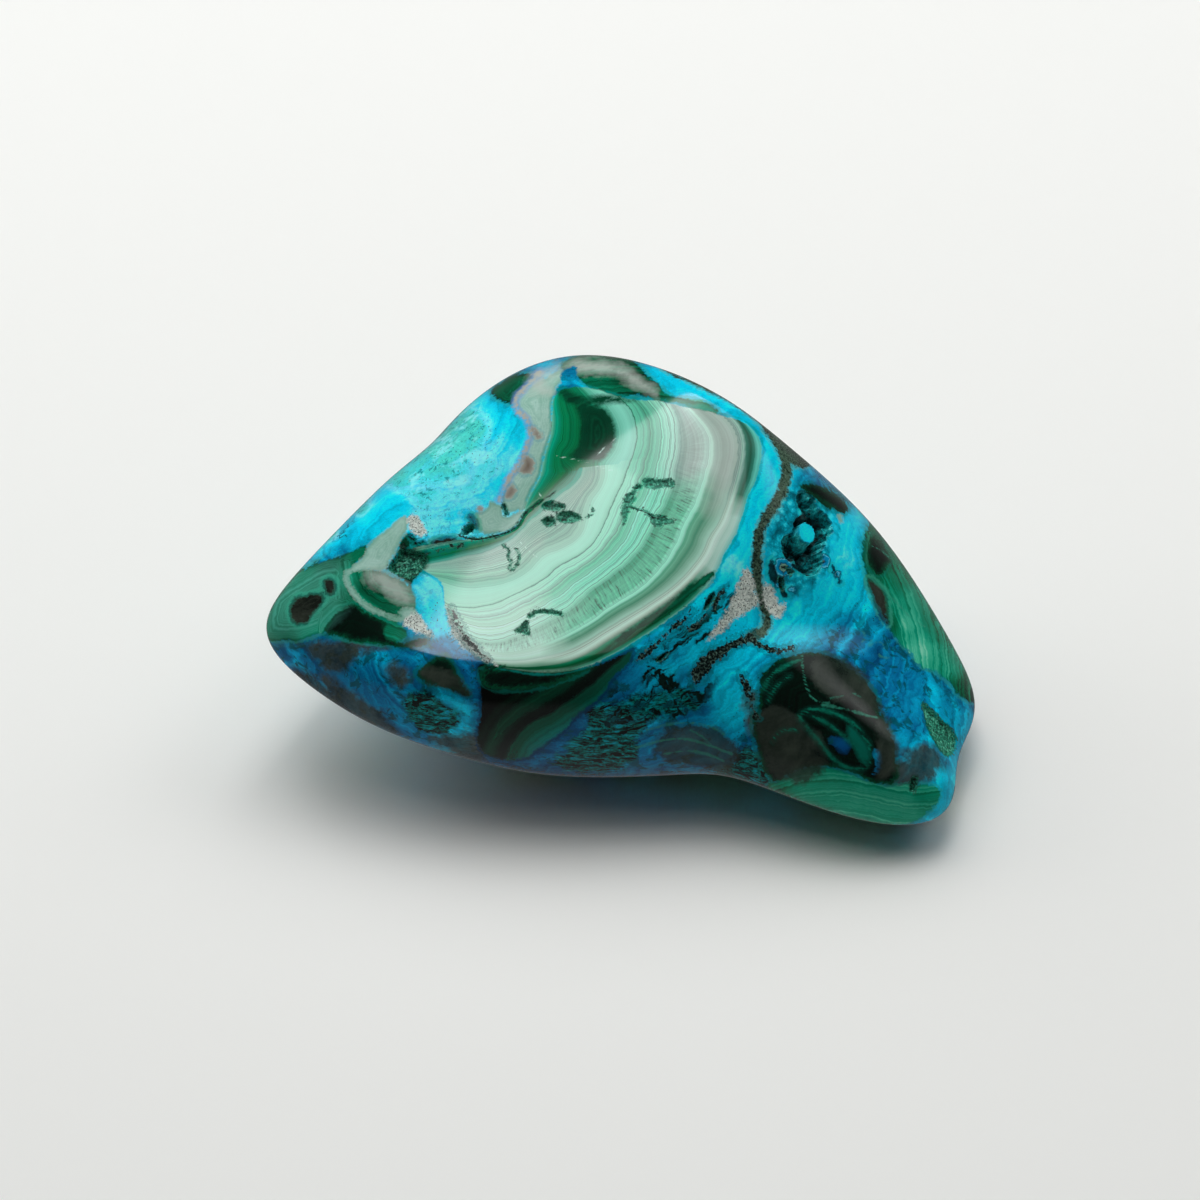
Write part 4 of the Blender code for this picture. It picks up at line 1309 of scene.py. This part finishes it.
def soft_light(name, width, height, glow, place):
    """A lit cloth of this many metres, with its glow as it is seen from the front."""
    data = bpy.data.lights.new(name, "AREA")
    data.shape = "RECTANGLE"
    data.size = width
    data.size_y = height
    data.energy = glow * math.pi * width * height
    light = bpy.data.objects.new(name, data)
    light.location = place
    bpy.context.scene.collection.objects.link(light)
    return light


def cleared(owner):
    """The node tree of a lamp or of the room, emptied."""
    owner.use_nodes = True
    owner.node_tree.nodes.clear()
    return Plot(owner.node_tree)


# The softbox's left edge, whose reflection crosses the malachite eye, is 132 mm left of the stone and 16 mm right
# of it. It is brightest there.
middle = np.array([0.910, -0.415]) * -0.016 + np.array([0.415, 0.910]) * 0.225
softbox_place = (middle[0] - 0.0033, middle[1] + 0.001, 0.716)
softbox = soft_light("softbox", width=0.232, height=0.850, glow=4.8, place=softbox_place)
softbox.rotation_euler = (0, 0, math.radians(-24.5))
glow = cleared(softbox.data)
place_on_it = glow.amount("ShaderNodeNewGeometry", None, None, "Parametric")
across = glow.amount("ShaderNodeSeparateXYZ", None, {0: place_on_it}, "X")
greys = (0.0, 1.0), (0.08, 0.95), (0.17, 0.75), (0.26, 0.30), (0.5, 0.22), (1.0, 0.20)
fading = glow.amount("ShaderNodeValToRGB", {"stops": [(place, (grey,) * 3) for place, grey in greys]}, {0: across})
shine = glow.amount("ShaderNodeEmission", None, {"Color": fading, "Strength": 1.0})
glow.add("ShaderNodeOutputLight", None, {0: shine})

# The tent's sheets are too dull to be mirrored in the polish: where each hangs, its width and its glow.
SHEETS = {
    "sheet_behind_left": ((-0.56, 0.46, 0.70), 0.8, 1.65),
    "sheet_behind": ((0.0, 0.58, 0.84), 0.8, 1.35),
    "sheet_behind_right": ((0.62, 0.36, 0.70), 0.6, 1.55),
    "sheet_overhead": ((0.0, 0.32, 1.00), 0.6, 1.80),
    "sheet_low_left": ((-0.82, 0.20, 0.30), 0.5, 1.20),
}
for name, (place, width, brightness) in SHEETS.items():
    sheet = soft_light(name, width, width, brightness, place)
    sheet.rotation_mode = "QUATERNION"
    sheet.rotation_quaternion = (-sheet.location).to_track_quat("-Z", "Y")
    sheet.visible_glossy = False

# A weak side light, mirrored as a soft patch on the toe.
side_light = soft_light("side_light", width=0.64, height=0.60, glow=1.2, place=(0.55, 0.255, 0.716))
glow = cleared(side_light.data)
place_on_it = glow.amount("ShaderNodeNewGeometry", None, None, "Parametric")
spot = glow.vector("SUBTRACT", place_on_it, (0.5, 0.5, 0.0))
from_middle = glow.amount("ShaderNodeVectorMath", {"operation": "LENGTH"}, {0: spot}, "Value")
shine = glow.amount("ShaderNodeEmission", None, {"Strength": (1.0 - from_middle / 0.5).clamped()})
glow.add("ShaderNodeOutputLight", None, {0: shine})

# The polish mirrors the dim room, which is paler low down, and not the floor.
floor.visible_glossy = False
room = bpy.data.worlds.new("dim_room")
sky = cleared(room)
outward = sky.amount("ShaderNodeTexCoord", None, None, "Generated")
height = sky.amount("ShaderNodeSeparateXYZ", None, {0: outward}, "Z")
backdrop = sky.amount("ShaderNodeBackground", None, {"Strength": (0.10 - height * 3.0).clamped() * 0.12 + 0.04})
sky.add("ShaderNodeOutputWorld", None, {0: backdrop})
bpy.context.scene.world = room
bpy.context.scene.view_settings.view_transform = "Standard"

camera_data = bpy.data.cameras.new("camera")
camera_data.sensor_width = 36
camera_data.lens = PICTURE_SCALE * camera_data.sensor_width / PICTURE_SIZE
camera = bpy.data.objects.new("camera", camera_data)
camera.location = Vector(EYE * MM)
camera.rotation_mode = "QUATERNION"
camera.rotation_quaternion = Vector(-TOWARDS_VIEW).to_track_quat("-Z", "Y")
camera_data.clip_start = 0.01
camera_data.clip_end = 20
bpy.context.scene.collection.objects.link(camera)
bpy.context.scene.camera = camera
